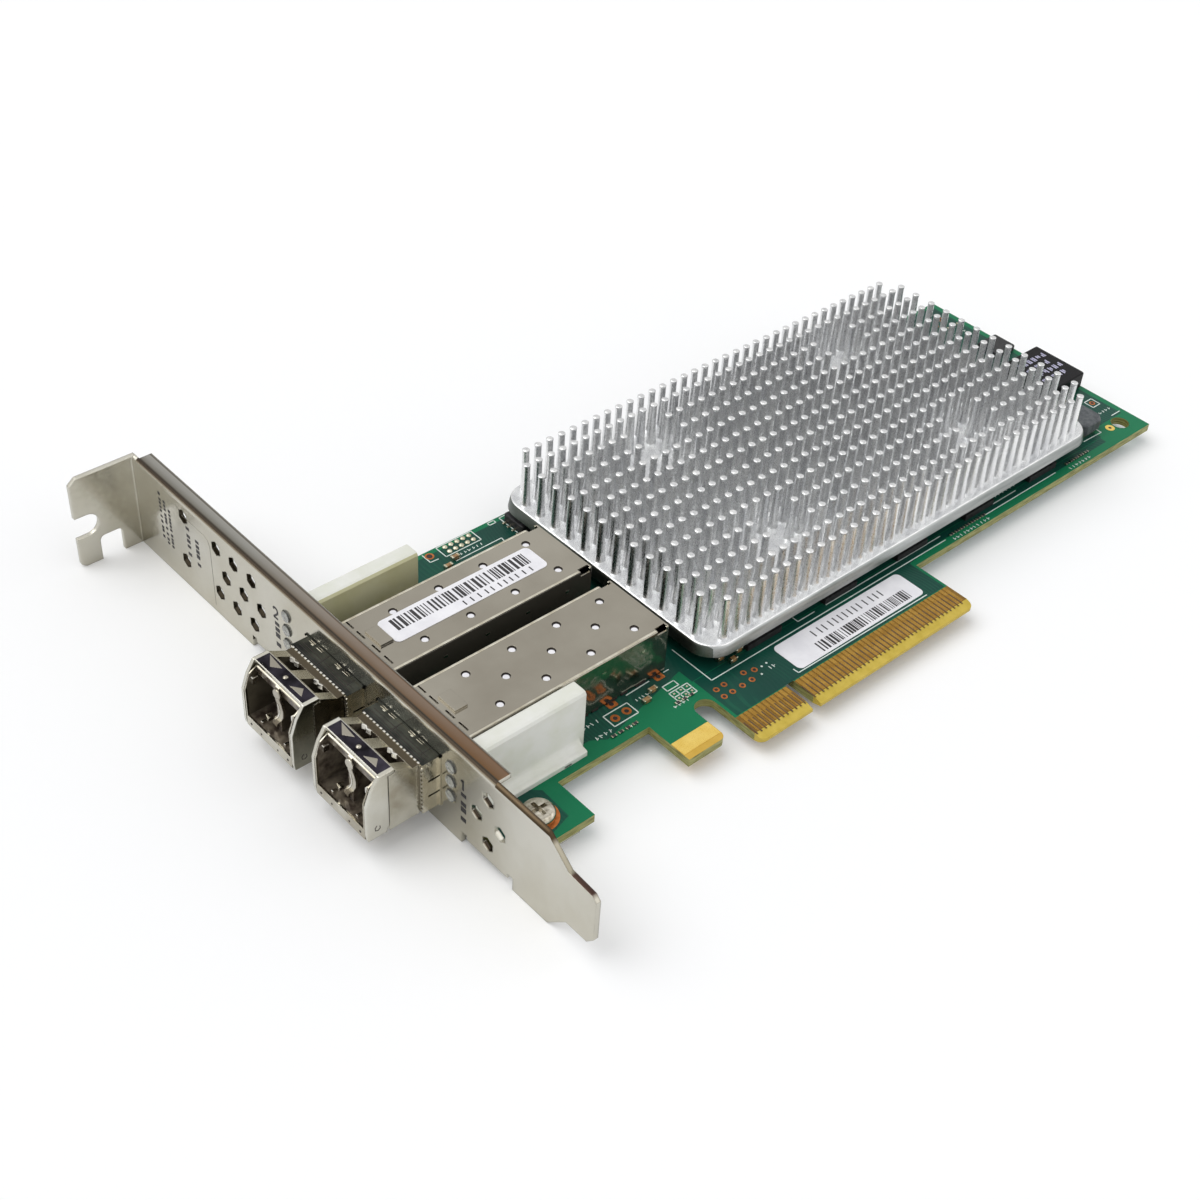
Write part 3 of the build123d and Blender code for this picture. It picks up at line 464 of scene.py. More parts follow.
def finishes():
    """All finishes, made once."""
    if FINISHES:
        return FINISHES
    FINISHES.update(
        laminate=laminate(),
        copper_mask=copper_under_mask(),
        silk=plastic("silkscreen_ink", (226, 234, 228), (206, 218, 210), (0.5, 0.6)),
        contact_gold=metal("contact_gold", (176, 138, 66), (150, 112, 48), (0.22, 0.34), 0.5, 0.004, 0.0),
        bright_gold=metal("bright_gold", (232, 202, 112), (222, 188, 94), (0.25, 0.36), 0.5, 0.003, 0.0),
        gap_brown=plastic("gap_brown", (92, 64, 26), (70, 48, 20), (0.4, 0.5)),
        ring_copper=metal("ring_copper", (194, 118, 66), (156, 90, 48), (0.28, 0.4), 1.2, 0.01, 0.0),
        solder=metal("solder", (200, 196, 176), (160, 154, 130), (0.2, 0.34), 1.2, 0.01, 0.0),
        hole=plastic("hole_dark", (38, 26, 20), (16, 12, 10), (0.6, 0.7)),
        nickel=plated_bracket(),
        screw_steel=metal("screw_steel", (206, 200, 186), (122, 114, 98), (0.08, 0.18), 0.9),
        tin=cage_tin(),
        # A brighter copy of the tin: painted highlights on the cage folds and side patches; the transceiver covers
        # use it too.
        tin_edge=metal("cage_tin_edge", (214, 210, 196), (176, 168, 148), (0.14, 0.24), 0.4, 0.003, 0.0),
        collar=collar_steel(),
        die_cast=metal("die_cast_bright", (196, 192, 180), (150, 143, 128), (0.1, 0.2), 0.14, 0.004, 0.15),
        bail_satin=bail_steel(),
        pipe_moulding=pipe_moulding(),
        # A lit copy of the die-cast finish: painted light on the brightest nose details and the collar springs.
        chrome=metal("die_cast_lit", (226, 224, 216), (190, 186, 176), (0.1, 0.18), 0.5, 0.004, 0.0),
        nose=nose_cast(),
        black_nickel=metal("black_nickel", (66, 62, 72), (26, 24, 28), (0.1, 0.2), 0.3, 0.004, 0.0),
        clear=glass("clear_plastic", (232, 234, 232)),
        lamp=plastic("lamp_lens", (226, 226, 196), (204, 204, 172), (0.2, 0.3)),
        aluminium=metal("heatsink_aluminium", (222, 223, 223), (192, 193, 195), (0.22, 0.36), 0.4, 0.03, 0.0),
        sink_edge=sink_edge(),
        pin_tip=metal("heatsink_pin_tip", (220, 220, 219), (192, 193, 194), (0.2, 0.32), 0.9, 0.02, 0.0),
        # Pin sides in a brighter copy of the aluminium: painted light for what the pins lose to each other.
        pin_side=metal(
            "heatsink_pin", (244, 244, 243), (206, 207, 209), (0.2, 0.32), 0.9, 0.02, 0.0, (1, 1, 0.12)
        ),
        pad=plastic("thermal_pad_grey", (126, 132, 138), (104, 110, 118), (0.7, 0.8)),
        chip=plastic("chip_black", (46, 45, 46), (28, 27, 29), (0.42, 0.56), 1.4, 0.012, 0.0, 1.36),
        module_black=plastic("module_black", (16, 14, 17), (9, 8, 10), (0.34, 0.46), 1.4, 0.01, 0.0, 1.22),
        print_grey=plastic("printed_grey", (190, 188, 212), (158, 156, 182), (0.5, 0.6)),
        ferrite=plastic("ferrite_grey", (88, 92, 94), (58, 62, 66), (0.5, 0.66), 1.2, 0.03),
        ceramic=plastic("ceramic_tan", (166, 132, 88), (134, 100, 60), (0.3, 0.42), 1.4),
        resistor=plastic("resistor_black", (40, 40, 44), (22, 22, 26), (0.3, 0.44), 1.4),
        host=plastic("connector_black", (34, 34, 36), (18, 18, 20), (0.4, 0.52), 1.0),
        label=plastic("label_film", (240, 239, 242), (230, 229, 233), (0.36, 0.46), 0.3, 0.004),
        ink=plastic("label_ink", (38, 36, 38), (22, 20, 22), (0.5, 0.6)),
        inner_board=plastic("inner_board_mask", (28, 96, 70), (18, 72, 54), (0.36, 0.48), 0.6),
    )
    return FINISHES


# ---------------------------------------------------------------- shapes


class Shape:
    """Points and faces of one piece, in millimetres, built up from simple solids."""

    def __init__(self):
        self.points = []
        self.faces = []
        self.kinds = []
        self.smooth = []

    def add(self, points, faces, kind=0, smooth=False, place=None):
        start = len(self.points)
        if place is not None:
            points = [place @ Vector(point) for point in points]
        self.points += [tuple(point) for point in points]
        for face in faces:
            self.faces.append(tuple(start + index for index in face))
            self.kinds.append(kind)
            self.smooth.append(smooth)

    def stack(self, rows, kind=0, smooth=False, place=None, hollow=False):
        """Joins rows of points into a skin with a cap at each end, or into a hollow ring."""
        count = len(rows[0])
        last = (len(rows) - 1) * count
        bases = [level * count for level in range(len(rows))]
        joins = list(zip(bases, bases[1:]))
        faces = [] if hollow else [tuple(range(count - 1, -1, -1))]
        if hollow:
            joins.append((last, 0))
        for base, above in joins:
            for n in range(count):
                after = (n + 1) % count
                faces.append((base + n, base + after, above + after, above + n))
        if not hollow:
            faces.append(tuple(last + n for n in range(count)))
        self.add([point for row in rows for point in row], faces, kind, smooth, place)

    def prism(self, outline, low, high, edge=0.0, kind=0, place=None):
        """Extrudes an outline along Z, with chamfered rims where edge is given."""
        area = sum(a[0] * b[1] - b[0] * a[1] for a, b in zip(outline, outline[1:] + outline[:1]))
        if area < 0:
            outline = outline[::-1]
        levels = [(low, 0.0), (high, 0.0)]
        if edge:
            levels = [(low, edge), (low + edge, 0.0), (high - edge, 0.0), (high, edge)]
        rows = [[(x, y, height) for x, y in inset_outline(outline, inset)] for height, inset in levels]
        self.stack(rows, kind, False, place)

    def block(self, corner, opposite, edge=0.0, kind=0, place=None):
        """A box between any two opposite corners."""
        (x0, x1), (y0, y1), (z0, z1) = (sorted(pair) for pair in zip(corner, opposite))
        self.prism([(x0, y0), (x1, y0), (x1, y1), (x0, y1)], z0, z1, edge, kind, place)

    def lathe(self, profile, centre=(0, 0, 0), segments=16, kind=0, smooth=True, place=None):
        """Turns a profile of (radius, height) points about a vertical line."""
        rows = [circle(centre, radius, centre[2] + height, segments) for radius, height in profile]
        self.stack(rows, kind, smooth, place)

    def ring(self, centre, inner, outer, low, high, segments=24, kind=0):
        """A flat washer."""
        corners = ((inner, low), (outer, low), (outer, high), (inner, high))
        self.stack([circle(centre, radius, height, segments) for radius, height in corners], kind, hollow=True)

    def strip(self, start, end, width, low, high, kind=0, place=None):
        """A thin bar from one point of the board's plane to another."""
        side = Vector((start[1] - end[1], end[0] - start[0])).normalized() * width / 2
        outline = [
            (x + sign * side.x, y + sign * side.y) for (x, y), sign in zip((start, end, end, start), (-1, -1, 1, 1))
        ]
        self.prism(outline, low, high, 0.0, kind, place)

    def path(self, points, width, low, high):
        for start, end in zip(points, points[1:]):
            self.strip(start, end, width, low, high)

    def ribbon(self, points, width, low, high, kind=0, place=None):
        """One bent strip of even width along a line of points."""
        rows = []
        for n, (x, y) in enumerate(points):
            before = Vector(points[max(n - 1, 0)])
            after = Vector(points[min(n + 1, len(points) - 1)])
            along = (after - before).normalized()
            side = Vector((-along.y, along.x)) * width / 2
            right, left = (x - side.x, y - side.y), (x + side.x, y + side.y)
            rows.append([(*right, low), (*left, low), (*left, high), (*right, high)])
        self.stack(rows, kind, False, place)

    def build(self, name, surfaces, body=CARD, replaced=()):
        """Makes the object, in metres, on its body and with its material slot."""
        mesh = bpy.data.meshes.new(name)
        mesh.from_pydata([tuple(value * MM for value in point) for point in self.points], [], self.faces)
        for surface in surfaces:
            mesh.materials.append(finishes()[surface])
        for face, kind, smooth in zip(mesh.polygons, self.kinds, self.smooth):
            face.material_index = kind
            face.use_smooth = smooth
        work = bmesh.new()
        work.from_mesh(mesh)
        bmesh.ops.recalc_face_normals(work, faces=work.faces)
        for edge in work.edges:
            if len(edge.link_faces) == 2 and edge.calc_face_angle(0.0) > CREASE:
                edge.smooth = False
        work.to_mesh(mesh)
        work.free()
        piece = bpy.data.objects.new(name, mesh)
        bpy.context.scene.collection.objects.link(piece)
        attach(piece, body)
        if replaced:
            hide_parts(*replaced)
        return piece


def circle(centre, radius, height, segments):
    """Points around a vertical line, at one height."""
    turns = [2 * math.pi * n / segments for n in range(segments)]
    return [(centre[0] + radius * math.cos(turn), centre[1] + radius * math.sin(turn), height) for turn in turns]


def inset_outline(outline, inset):
    """The outline moved inwards by a distance, for chamfered rims."""
    if not inset:
        return list(outline)
    count = len(outline)
    moved = []
    for n in range(count):
        before = Vector(outline[n - 1])
        here = Vector(outline[n])
        after = Vector(outline[(n + 1) % count])
        first = (here - before).normalized()
        second = (after - here).normalized()
        normal = Vector((-first.y - second.y, first.x + second.x))
        if normal.length < 1e-6:
            normal = Vector((-first.y, first.x))
        normal.normalize()
        reach = inset / max(0.4, normal.dot(Vector((-first.y, first.x))))
        moved.append((here.x + normal.x * reach, here.y + normal.y * reach))
    return moved


def rounded_outline(low, high, radius, steps=6):
    """A rectangle with rounded corners, or with cut ones where each corner is one step."""
    outline = []
    corners = (
        (high[0] - radius, high[1] - radius, 0),
        (low[0] + radius, high[1] - radius, 90),
        (low[0] + radius, low[1] + radius, 180),
        (high[0] - radius, low[1] + radius, 270),
    )
    for x, y, start in corners:
        for n in range(steps + 1):
            angle = math.radians(start + 90 * n / steps)
            outline.append((x + radius * math.cos(angle), y + radius * math.sin(angle)))
    return outline


def facing_y():
    """Places an outline drawn in (x, z) and extruded along -Y."""
    return Matrix(((1, 0, 0, 0), (0, 0, -1, 0), (0, 1, 0, 0), (0, 0, 0, 1)))


def along_x(x):
    """Places an outline drawn in (y, z) in the plane at x, extruded along +X."""
    return Matrix(((0, 0, 1, x), (1, 0, 0, 0), (0, 1, 0, 0), (0, 0, 0, 1)))


def dress(nodes, surface):
    """Gives carried-over solids their finish."""
    for node in nodes:
        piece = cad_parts[node]
        piece.data.materials.clear()
        piece.data.materials.append(finishes()[surface])


def both(name):
    return [f"{name}_{port}" for port in PORTS]


# ---------------------------------------------------------------- settings


class AdapterSizes(bpy.types.PropertyGroup):
    """Sizes of the dressed details."""

    pin_base: FloatProperty(
        name="Pin foot diameter", description="Heatsink pins at the plate", default=1.8e-3, unit="LENGTH"
    )
    pin_tip: FloatProperty(
        name="Pin tip diameter", description="Heatsink pins at the top", default=1.24e-3, unit="LENGTH"
    )
    silk_width: FloatProperty(
        name="Printed line", description="Width of printed lines on the board", default=0.2e-3, unit="LENGTH"
    )
    bars: IntProperty(name="Label bars", description="Number of bars on each label", default=40, min=4, max=80)


class AdapterColours(bpy.types.PropertyGroup):
    """Colours of the dressed details."""

    mask: FloatVectorProperty(
        name="Solder mask", description="Brightest shade of the board", subtype="COLOR", size=4,
        default=srgb(20, 116, 76), min=0, max=1,
    )
    floor: FloatVectorProperty(
        name="Floor", description="Shade of the floor", subtype="COLOR", size=4,
        default=(0.9, 0.9, 0.9, 1), min=0, max=1,
    )


class AdapterStage(bpy.types.PropertyGroup):
    """Light and camera."""

    key_power: FloatProperty(name="Key light", description="Strength of the main soft sun", default=1.5, min=0)
    fill_power: FloatProperty(name="Fill light", description="Strength of the second soft sun", default=0.65, min=0)
    sky: FloatProperty(name="Sky", description="Strength of the even light", default=0.5, min=0)
    focal: FloatProperty(name="Focal length", description="Lens in millimetres", default=53.82, min=1)


# ---------------------------------------------------------------- operators


class ADAPTER_OT_stage(bpy.types.Operator):
    """Floor, even light, soft lamps and the camera"""

    bl_idname = "adapter.stage"
    bl_label = "Stage"

    def execute(self, context):
        scene = context.scene
        settings = scene.adapter_stage
        scene.view_settings.view_transform = "Standard"
        world = bpy.data.worlds.new("even_light")
        scene.world = world
        world.use_nodes = True
        world.node_tree.nodes.clear()
        nodes = Nodes(world.node_tree)
        rays, seen = nodes.seen_directly()
        clear = nodes.math("MAXIMUM", seen, rays["Is Transmission Ray"])
        even = nodes.node("ShaderNodeBackground", (0.97, 0.98, 1.0, 1), settings.sky).outputs[0]
        white = nodes.node("ShaderNodeBackground", (1, 1, 1, 1), 1.0).outputs[0]
        blend = nodes.node("ShaderNodeMixShader", clear, even, white).outputs[0]
        nodes.node("ShaderNodeOutputWorld", blend)

        ground = cad_low.z - FLOOR_GAP
        mesh = bpy.data.meshes.new("floor")
        corners = [(x * FLOOR_REACH, y * FLOOR_REACH, ground) for x, y in ((-1, -1), (1, -1), (1, 1), (-1, 1))]
        mesh.from_pydata(corners, [], [(0, 1, 2, 3)])
        floor = bpy.data.objects.new("floor", mesh)
        scene.collection.objects.link(floor)
        paper = bpy.data.materials.new("white_paper")
        paper.use_nodes = True
        paper.node_tree.nodes.clear()
        nodes = Nodes(paper.node_tree)
        diffuse = nodes.node("ShaderNodeBsdfDiffuse", tuple(scene.adapter_colours.floor)).outputs[0]
        lift = nodes.math("MULTIPLY", nodes.seen_directly()[1], FLOOR_GLOW)
        glow = nodes.node("ShaderNodeEmission", (1, 1, 1, 1), lift).outputs[0]
        nodes.node("ShaderNodeOutputMaterial", nodes.node("ShaderNodeAddShader", diffuse, glow).outputs[0])
        mesh.materials.append(paper)

        for name, place, spread, strength in (
            ("key", Vector((-0.25, 0.25, 0.6)), 55, settings.key_power),
            ("fill", Vector((0.35, -0.45, 0.45)), 70, settings.fill_power),
        ):
            lamp = bpy.data.lights.new(name, "SUN")
            lamp.angle = math.radians(spread)
            lamp.energy = strength
            light = bpy.data.objects.new(name, lamp)
            light.location = place
            light.rotation_euler = place.to_track_quat("Z", "Y").to_euler()
            scene.collection.objects.link(light)

        lens = bpy.data.cameras.new("camera")
        lens.sensor_width = 36.0
        lens.sensor_fit = "HORIZONTAL"
        lens.lens = settings.focal
        lens.clip_start = 0.01
        lens.clip_end = 20.0
        camera = bpy.data.objects.new("camera", lens)
        right = Vector(CAMERA_RIGHT).normalized()
        ahead = Vector(CAMERA_AHEAD).normalized()
        turn = Matrix((right, right.cross(ahead), -ahead)).transposed().to_4x4()
        camera.matrix_world = Matrix.Translation(Vector(CAMERA_PLACE) * MM) @ turn
        scene.collection.objects.link(camera)
        scene.camera = camera
        return {"FINISHED"}


class ADAPTER_OT_board(bpy.types.Operator):
    """Circuit board with its copper areas, printed lines, rings and pads"""

    bl_idname = "adapter.board"
    bl_label = "Circuit board"

    def execute(self, context):
        dress(["circuit_board"], "laminate")
        dress(["contacts_component_side", "contacts_solder_side"], "contact_gold")
        dress(["ground_tab_plating"], "bright_gold")
        areas = Shape()
        for outline in (
            [(-57.6, 16.8), (-34.0, 16.8), (-31.6, 15.2), (-12.2, 19.5), (-12.2, 16.4), (98.5, 16.4), (98.5, 19.0),
             (108.6, 19.0), (108.6, 67.9), (-57.6, 67.9)],
            [(-12.0, 6.3), (39.0, 6.3), (39.0, 14.2), (46.0, 14.9), (98.0, 14.9), (98.0, 16.3), (-12.0, 16.3)],
            [(-58.2, 5.9), (-50.8, 5.9), (-46.8, 7.0), (-46.5, 13.4), (-50.0, 16.4), (-58.2, 16.4)],
        ):
            areas.prism(outline, 0.0, MASK_TOP)
        areas.build("copper_areas", ["copper_mask"])

        silk = Shape()
        width = context.scene.adapter_sizes.silk_width / MM
        lines = (
            [(-9.5, 24.0), (-9.5, 14.65), (49.3, 14.6)],
            [(12.1, 17.1), (12.1, 15.85), (16.2, 15.85)],
            [(19.0, 15.85), (49.3, 15.9)],
            [(61.0, 14.8), (81.8, 14.8)],
            [(63.8, 16.0), (71.2, 16.0)],
            [(3.0, 7.05), (34.9, 6.75)],
            [(3.0, 7.05), (2.9, 8.2)],
            [(-23.3, 63.8), (-13.1, 63.9), (-13.3, 62.4)],
            [(-9.9, 62.9), (-9.9, 68.5), (-7.0, 68.6)],
            [(94.4, 17.6), (99.8, 17.4), (99.8, 19.0)],
            [(-27.0, 68.6), (-27.0, 66.2), (-25.3, 66.1)],
            [(106.2, 19.6), (108.9, 19.6)],
            [(-13.2, 20.9), (-14.4, 20.9)],
            [(-17.6, 20.85), (-22.8, 20.7)],
        )
        for line in lines:
            silk.path(line, width, MASK_TOP, PRINT_TOP)
        for x0, y0, x1, y1 in (
            (-23.9, 65.75, -16.15, 68.7),
            (-28.9, 16.6, -23.8, 19.4),
            (-16.9, 17.25, -14.4, 18.5),
            (-17.1, 14.3, -13.1, 16.7),
            (-12.5, 67.9, -11.1, 68.6),
            (105.55, 23.55, 107.75, 25.75),
        ):
            silk.path([(x0, y0), (x1, y0), (x1, y1), (x0, y1), (x0, y0)], width, MASK_TOP, PRINT_TOP)
        for column in (-15.75, -14.45):
            silk.strip((column, 14.3), (column, 16.7), width, MASK_TOP, PRINT_TOP)
        silk.strip((-17.1, 15.5), (-13.1, 15.5), width, MASK_TOP, PRINT_TOP)
        marks = random.Random(7)
        tick_rows = (
            (-22.2, 18.6, 5, 0.75, 0.5), (-33.2, 18.9, 4, 0.95, 0.7), (-33.0, 16.0, 4, 0.95, 0.7),
            (-18.4, 13.6, 4, 0.9, 0.5), (0.2, 10.5, 2, 0.7, 0.7), (50.8, 13.5, 11, 0.95, 0.6),
            (85.3, 13.6, 7, 0.95, 0.6), (105.0, 21.2, 4, 0.9, 0.6), (103.2, 57.5, 5, 0.9, 0.6),
            (-21.5, 64.5, 6, 0.9, 0.6), (-27.6, 14.8, 3, 0.8, 0.5), (-5.6, 18.6, 3, 0.9, 0.5),
            (104.5, 43.0, 4, 0.8, 0.5), (60.0, 17.0, 12, 1.1, 0.5), (-46.0, 62.0, 6, 0.9, 0.6),
        )
        for x, y, count, pitch, size in tick_rows:
            for n in range(count):
                left = x + n * pitch
                lean = marks.choice((-0.14, 0.0, 0.14))
                silk.strip((left, y), (left + lean, y + size), 0.16, MASK_TOP, PRINT_TOP)
                if marks.random() < 0.6:
                    foot = (left, y + size * marks.random())
                    silk.strip(foot, (left + 0.4, y + size / 2), 0.14, MASK_TOP, PRINT_TOP)
        for x, y in ((0.5, 12.0), (-0.7, 11.9), (-2.0, 10.6), (-5.2, 19.9), (-10.2, 62.2)):
            silk.lathe([(0.2, 0), (0.2, 0.02)], (x, y, MASK_TOP), 10, smooth=False)
        silk.build("silkscreen", ["silk"])

        rings = Shape()
        for x, y in (
            (-4.17, 12.68), (-2.24, 12.08), (-4.2, 10.68), (-6.41, 10.66), (-8.63, 12.7), (-10.46, 12.6),
            (-8.67, 10.65), (-10.55, 10.67),
        ):
            plated_hole(rings, x, y, 0.3, 0.56)
        for column in (-16.6, -15.1, -13.75):
            for row in (14.75, 15.95):
                rings.block((column - 0.1, row, MASK_TOP), (column + 0.3, row + 0.35, 0.08), 0, 4)
        for x, y in ((-15.7, 20.72), (-25.95, 20.7), (-38.0, 20.7)):
            rings.prism(rounded_outline((x - 0.95, y - 0.8), (x + 0.95, y + 0.8), 0.3), MASK_TOP, RING_TOP)
            rings.lathe([(0.42, 0), (0.42, 0.01)], (x, y, RING_TOP), 18, 1, False)
        for x, y in ((-25.08, 18.05), (-27.6, 17.95)):
            plated_hole(rings, x, y, 0.4, 0.82)
        for x, y, inner, outer, kind in (
            (-26.15, 67.6, 0.55, 0.85, 0), (102.45, 17.24, 0.32, 0.95, 2), (106.65, 24.65, 0.34, 0.62, 0),
            (103.4, 62.6, 0.4, 0.7, 0), (106.2, 63.6, 0.4, 0.7, 0),
        ):
            plated_hole(rings, x, y, inner, outer, kind)
        for mid in port_middles():
            for n in range(9):
                for side in (-6.6, 6.6):
                    plated_hole(rings, -50.5 + 4.1 * n, mid + side, 0.34, 0.66, 4, False)
        for n in range(10):
            plated_hole(rings, -22.8 + 1.35 * (n // 2), 66.55 + 1.35 * (n % 2), 0.3, 0.55, 4, False)
        for y in (9.8, 65.0):
            rings.ring((-50.4, y), 1.7, 3.3, MASK_TOP, RING_TOP, 36)
        rings.ring((105.5, 17.1), 1.81, 2.0, MASK_TOP, PRINT_TOP, 36, 3)
        rings.build("rings_and_vias", ["ring_copper", "hole", "bright_gold", "laminate", "solder"])

        header = Shape()
        for row in (66.6, 67.95):
            for n in range(5):
                pad = [(0.5, 0), (0.5, 0.05), (0.36, 0.22), (0.1, 0.3)]
                header.lathe(pad, (-22.5 + 1.32 * n, row, MASK_TOP), 14)
        header.build("header_pads", ["solder"])

        comb = Shape()
        for start, count in ((-12.35, 12), (1.0, 38)):
            for n in range(count):
                x = start + n
                comb.block((x - 0.13, 1.35, 0.0), (x + 0.13, 4.5, 0.056))
        comb.build("contact_gaps", ["gap_brown"])
        return {"FINISHED"}


def plated_hole(shape, x, y, inner, outer, kind=0, through=True):
    """A copper ring with a dark disc of painted shade for its bore, on the solder side and, if it goes through, on
    both.
    """
    for low, high in ((MASK_TOP, 0.037), (-1.61, -1.578))[0 if through else 1:]:
        shape.ring((x, y), inner, outer, low, high, 20, kind)
        shape.lathe([(inner, 0), (inner, 0.008)], (x, y, low if low > 0 else high - 0.014), 16, 1, False)


class ADAPTER_OT_bracket(bpy.types.Operator):
    """Mounting bracket with its printed figures, and the board screws"""

    bl_idname = "adapter.bracket"
    bl_label = "Bracket"

    def execute(self, context):
        dress(["mounting_bracket"], "nickel")
        marks = Shape()
        place = Matrix(((0, 0, -1, BRACKET_FACE), (-1, 0, 0, 0), (0, 1, 0, 0), (0, 0, 0, 1)))
        for y, stroke, z in ((16.0, "1", 7.4), (63.7, "2", 7.6)):
            figure(marks, stroke, (-y, z), 2.1, place)
        draw = random.Random(11)
        for y, bottom, top, wide, tall in (
            (15.3, 0.9, 6.6, 1.2, 1.3), (62.9, 1.5, 7.0, 1.2, 1.3),
            (97.4, 2.2, 12.6, 0.62, 0.8), (96.0, 1.6, 10.8, 0.62, 0.8), (94.6, 1.6, 9.6, 0.62, 0.8),
            (88.9, 3.6, 9.2, 1.0, 1.1), (86.2, 3.0, 8.6, 1.0, 1.1),
        ):
            z = bottom
            while z < top:
                upper = z + tall * draw.uniform(0.5, 0.8)
                marks.block((-y - wide / 2, z, 0), (-y + wide / 2, upper, BRACKET_PRINT), place=place)
                z += tall * draw.choice((1.0, 1.0, 1.5))
        outline = [(-82.0, -2.6), (-82.0, 9.8), (-82.5, 10.9), (-83.6, 11.4), (-90.4, 11.4), (-92.0, 12.6)]
        marks.ribbon(outline, 0.09, 0, 0.02, 1, place)
        marks.build("bracket_print", ["ink", "tin"])
        dress(["bracket_screws"], "screw_steel")
        return {"FINISHED"}


def figure(shape, digit, corner, height, place):
    """A plain printed figure made of straight strokes."""
    x, z = corner
    w = height * 0.55
    strokes = {
        "1": [(w / 2, 0), (w / 2, height), (w * 0.15, height * 0.78)],
        "2": [(w, 0), (0, 0), (w, height * 0.55), (w, height * 0.85), (w * 0.7, height), (w * 0.2, height),
              (0, height * 0.8)],
    }[digit]
    for (x0, z0), (x1, z1) in zip(strokes, strokes[1:]):
        shape.strip((x + x0, z + z0), (x + x1, z + z1), 0.38, 0, BRACKET_PRINT, 0, place)


class ADAPTER_OT_cages(bpy.types.Operator):
    """Port cages with their folded rims, spring fingers and host connectors"""

    bl_idname = "adapter.cages"
    bl_label = "Cages"

    def execute(self, context):
        dress(both("cage_shell") + both("cage_base"), "tin")
        dress(both("spring_collar"), "collar")
        dress(both("host_connector"), "host")
        for port, low, high, mid in each_port("cage_shell"):
            top = high.z - 0.4
            rims = Shape()
            # Strips on the top folds and rear corners: real strips, with a painted highlight in their brighter tin.
            for y, inward in ((low.y, 1), (high.y, -1)):
                rims.block(
                    (low.x + 4.3, y + inward * 0.12, top - 0.02), (high.x - 2.6, y + inward * 0.5, top + 0.06), 0.03
                )
                rims.block(
                    (high.x - 0.5, y + inward * 0.02, top - 2.2), (high.x - 0.2, y + inward * 0.3, top - 0.1), 0.04
                )
            last = high.x - 4.75
            holes = [(last - CAGE_HOLE_STEP * n, mid + row) for n in range(4) for row in (-4.15, 4.15)]
            holes += [(last - CAGE_HOLE_STEP * (n + 0.5), mid) for n in range(3)]
            # Each hole holds a dark disc of painted shade and, shifted towards -X and -Y and more so towards the
            # back, a white disc of painted light in the label film.
            for x, y in holes:
                rims.lathe([(0.73, 0), (0.73, 0.03)], (x, y, top - 0.22), 20, 1)
                far = 0.06 + 0.14 * (x - low.x) / (high.x - low.x)
                rims.lathe([(0.56, 0), (0.56, 0.03)], (x - far, y - far, top - 0.2), 20, 2)
            # Small patches of the brighter tin on each cage's low-Y side: painted highlights.
            for n in range(5):
                spot = high.x - 5.2 - 8.4 * n
                rims.block((spot - 0.4, low.y - 0.02, 6.9), (spot + 0.4, low.y + 0.1, 7.35), 0, 0)
            rims.build(f"cage_rims_and_painted_light_{port}", ["tin_edge", "hole", "label"])
            feet = Shape()
            for y, outward in ((low.y, -1), (high.y, 1)):
                for n in range(7):
                    left = low.x + 27.6 + 3.1 * n
                    right = left + (2.2 if n % 2 else 1.3)
                    feet.block((left, y - outward * 0.2, 0.0), (right, y + outward * 0.12, 0.34))
            feet.build(f"cage_feet_{port}", ["hole"])
            low, high = mm_box(f"spring_collar_{port}")
            lid = high.z
            springs = Shape()
            for start in (mid + 6.2, mid - 0.6):
                for x, y, length, width in ((2.7, 0.1, 1.3, 0.06), (2.5, -0.7, 0.5, 0.12), (2.65, -1.9, 1.4, 0.06)):
                    foot = (low.x + x, start + y)
                    springs.strip(foot, (foot[0] + 0.04, foot[1] - length), width, lid - 0.01, lid + 0.04)
            for n in range(17):
                y = mid - 6.7 + 0.82 * n
                springs.block((low.x - 0.2, y, lid - 0.3), (low.x + 0.12, y + 0.46, lid + 0.1), 0.04)
            for n in range(11):
                z = low.z + 0.5 + 0.86 * n
                springs.block((low.x - 0.18, low.y - 0.06, z), (low.x + 0.1, low.y + 0.2, z + 0.5), 0.04)
            springs.build(f"collar_springs_{port}", ["chrome"])
            seams = Shape()
            for x, near, far in ((0.5, 1.2, 1.5), (1.2, -5.4, -5.2)):
                seams.strip((low.x + x, mid + near), (low.x + 2.9, mid + far), 0.14, lid - 0.02, lid + 0.02)
            for x in (0.45, 1.1, 1.75):
                seams.strip((low.x + x, mid - 6.6), (low.x + x, mid + 6.6), 0.1, lid - 0.02, lid + 0.015)
            seams.build(f"collar_seams_{port}", ["hole"])
            lips = Shape()
            rim = 0.42
            wide_low, wide_high = low.y - rim, high.y + rim
            front, back = BRACKET_FACE - 0.27, BRACKET_FACE - 0.02
            lips.block((front, wide_low, lid - 0.02), (back, wide_high, lid + rim), 0.05)
            for a, b in ((wide_low, low.y + 0.02), (high.y - 0.02, wide_high)):
                lips.block((front, a, low.z), (back, b, lid + rim), 0.05)
            lips.build(f"collar_lips_{port}", ["collar"])
        return {"FINISHED"}


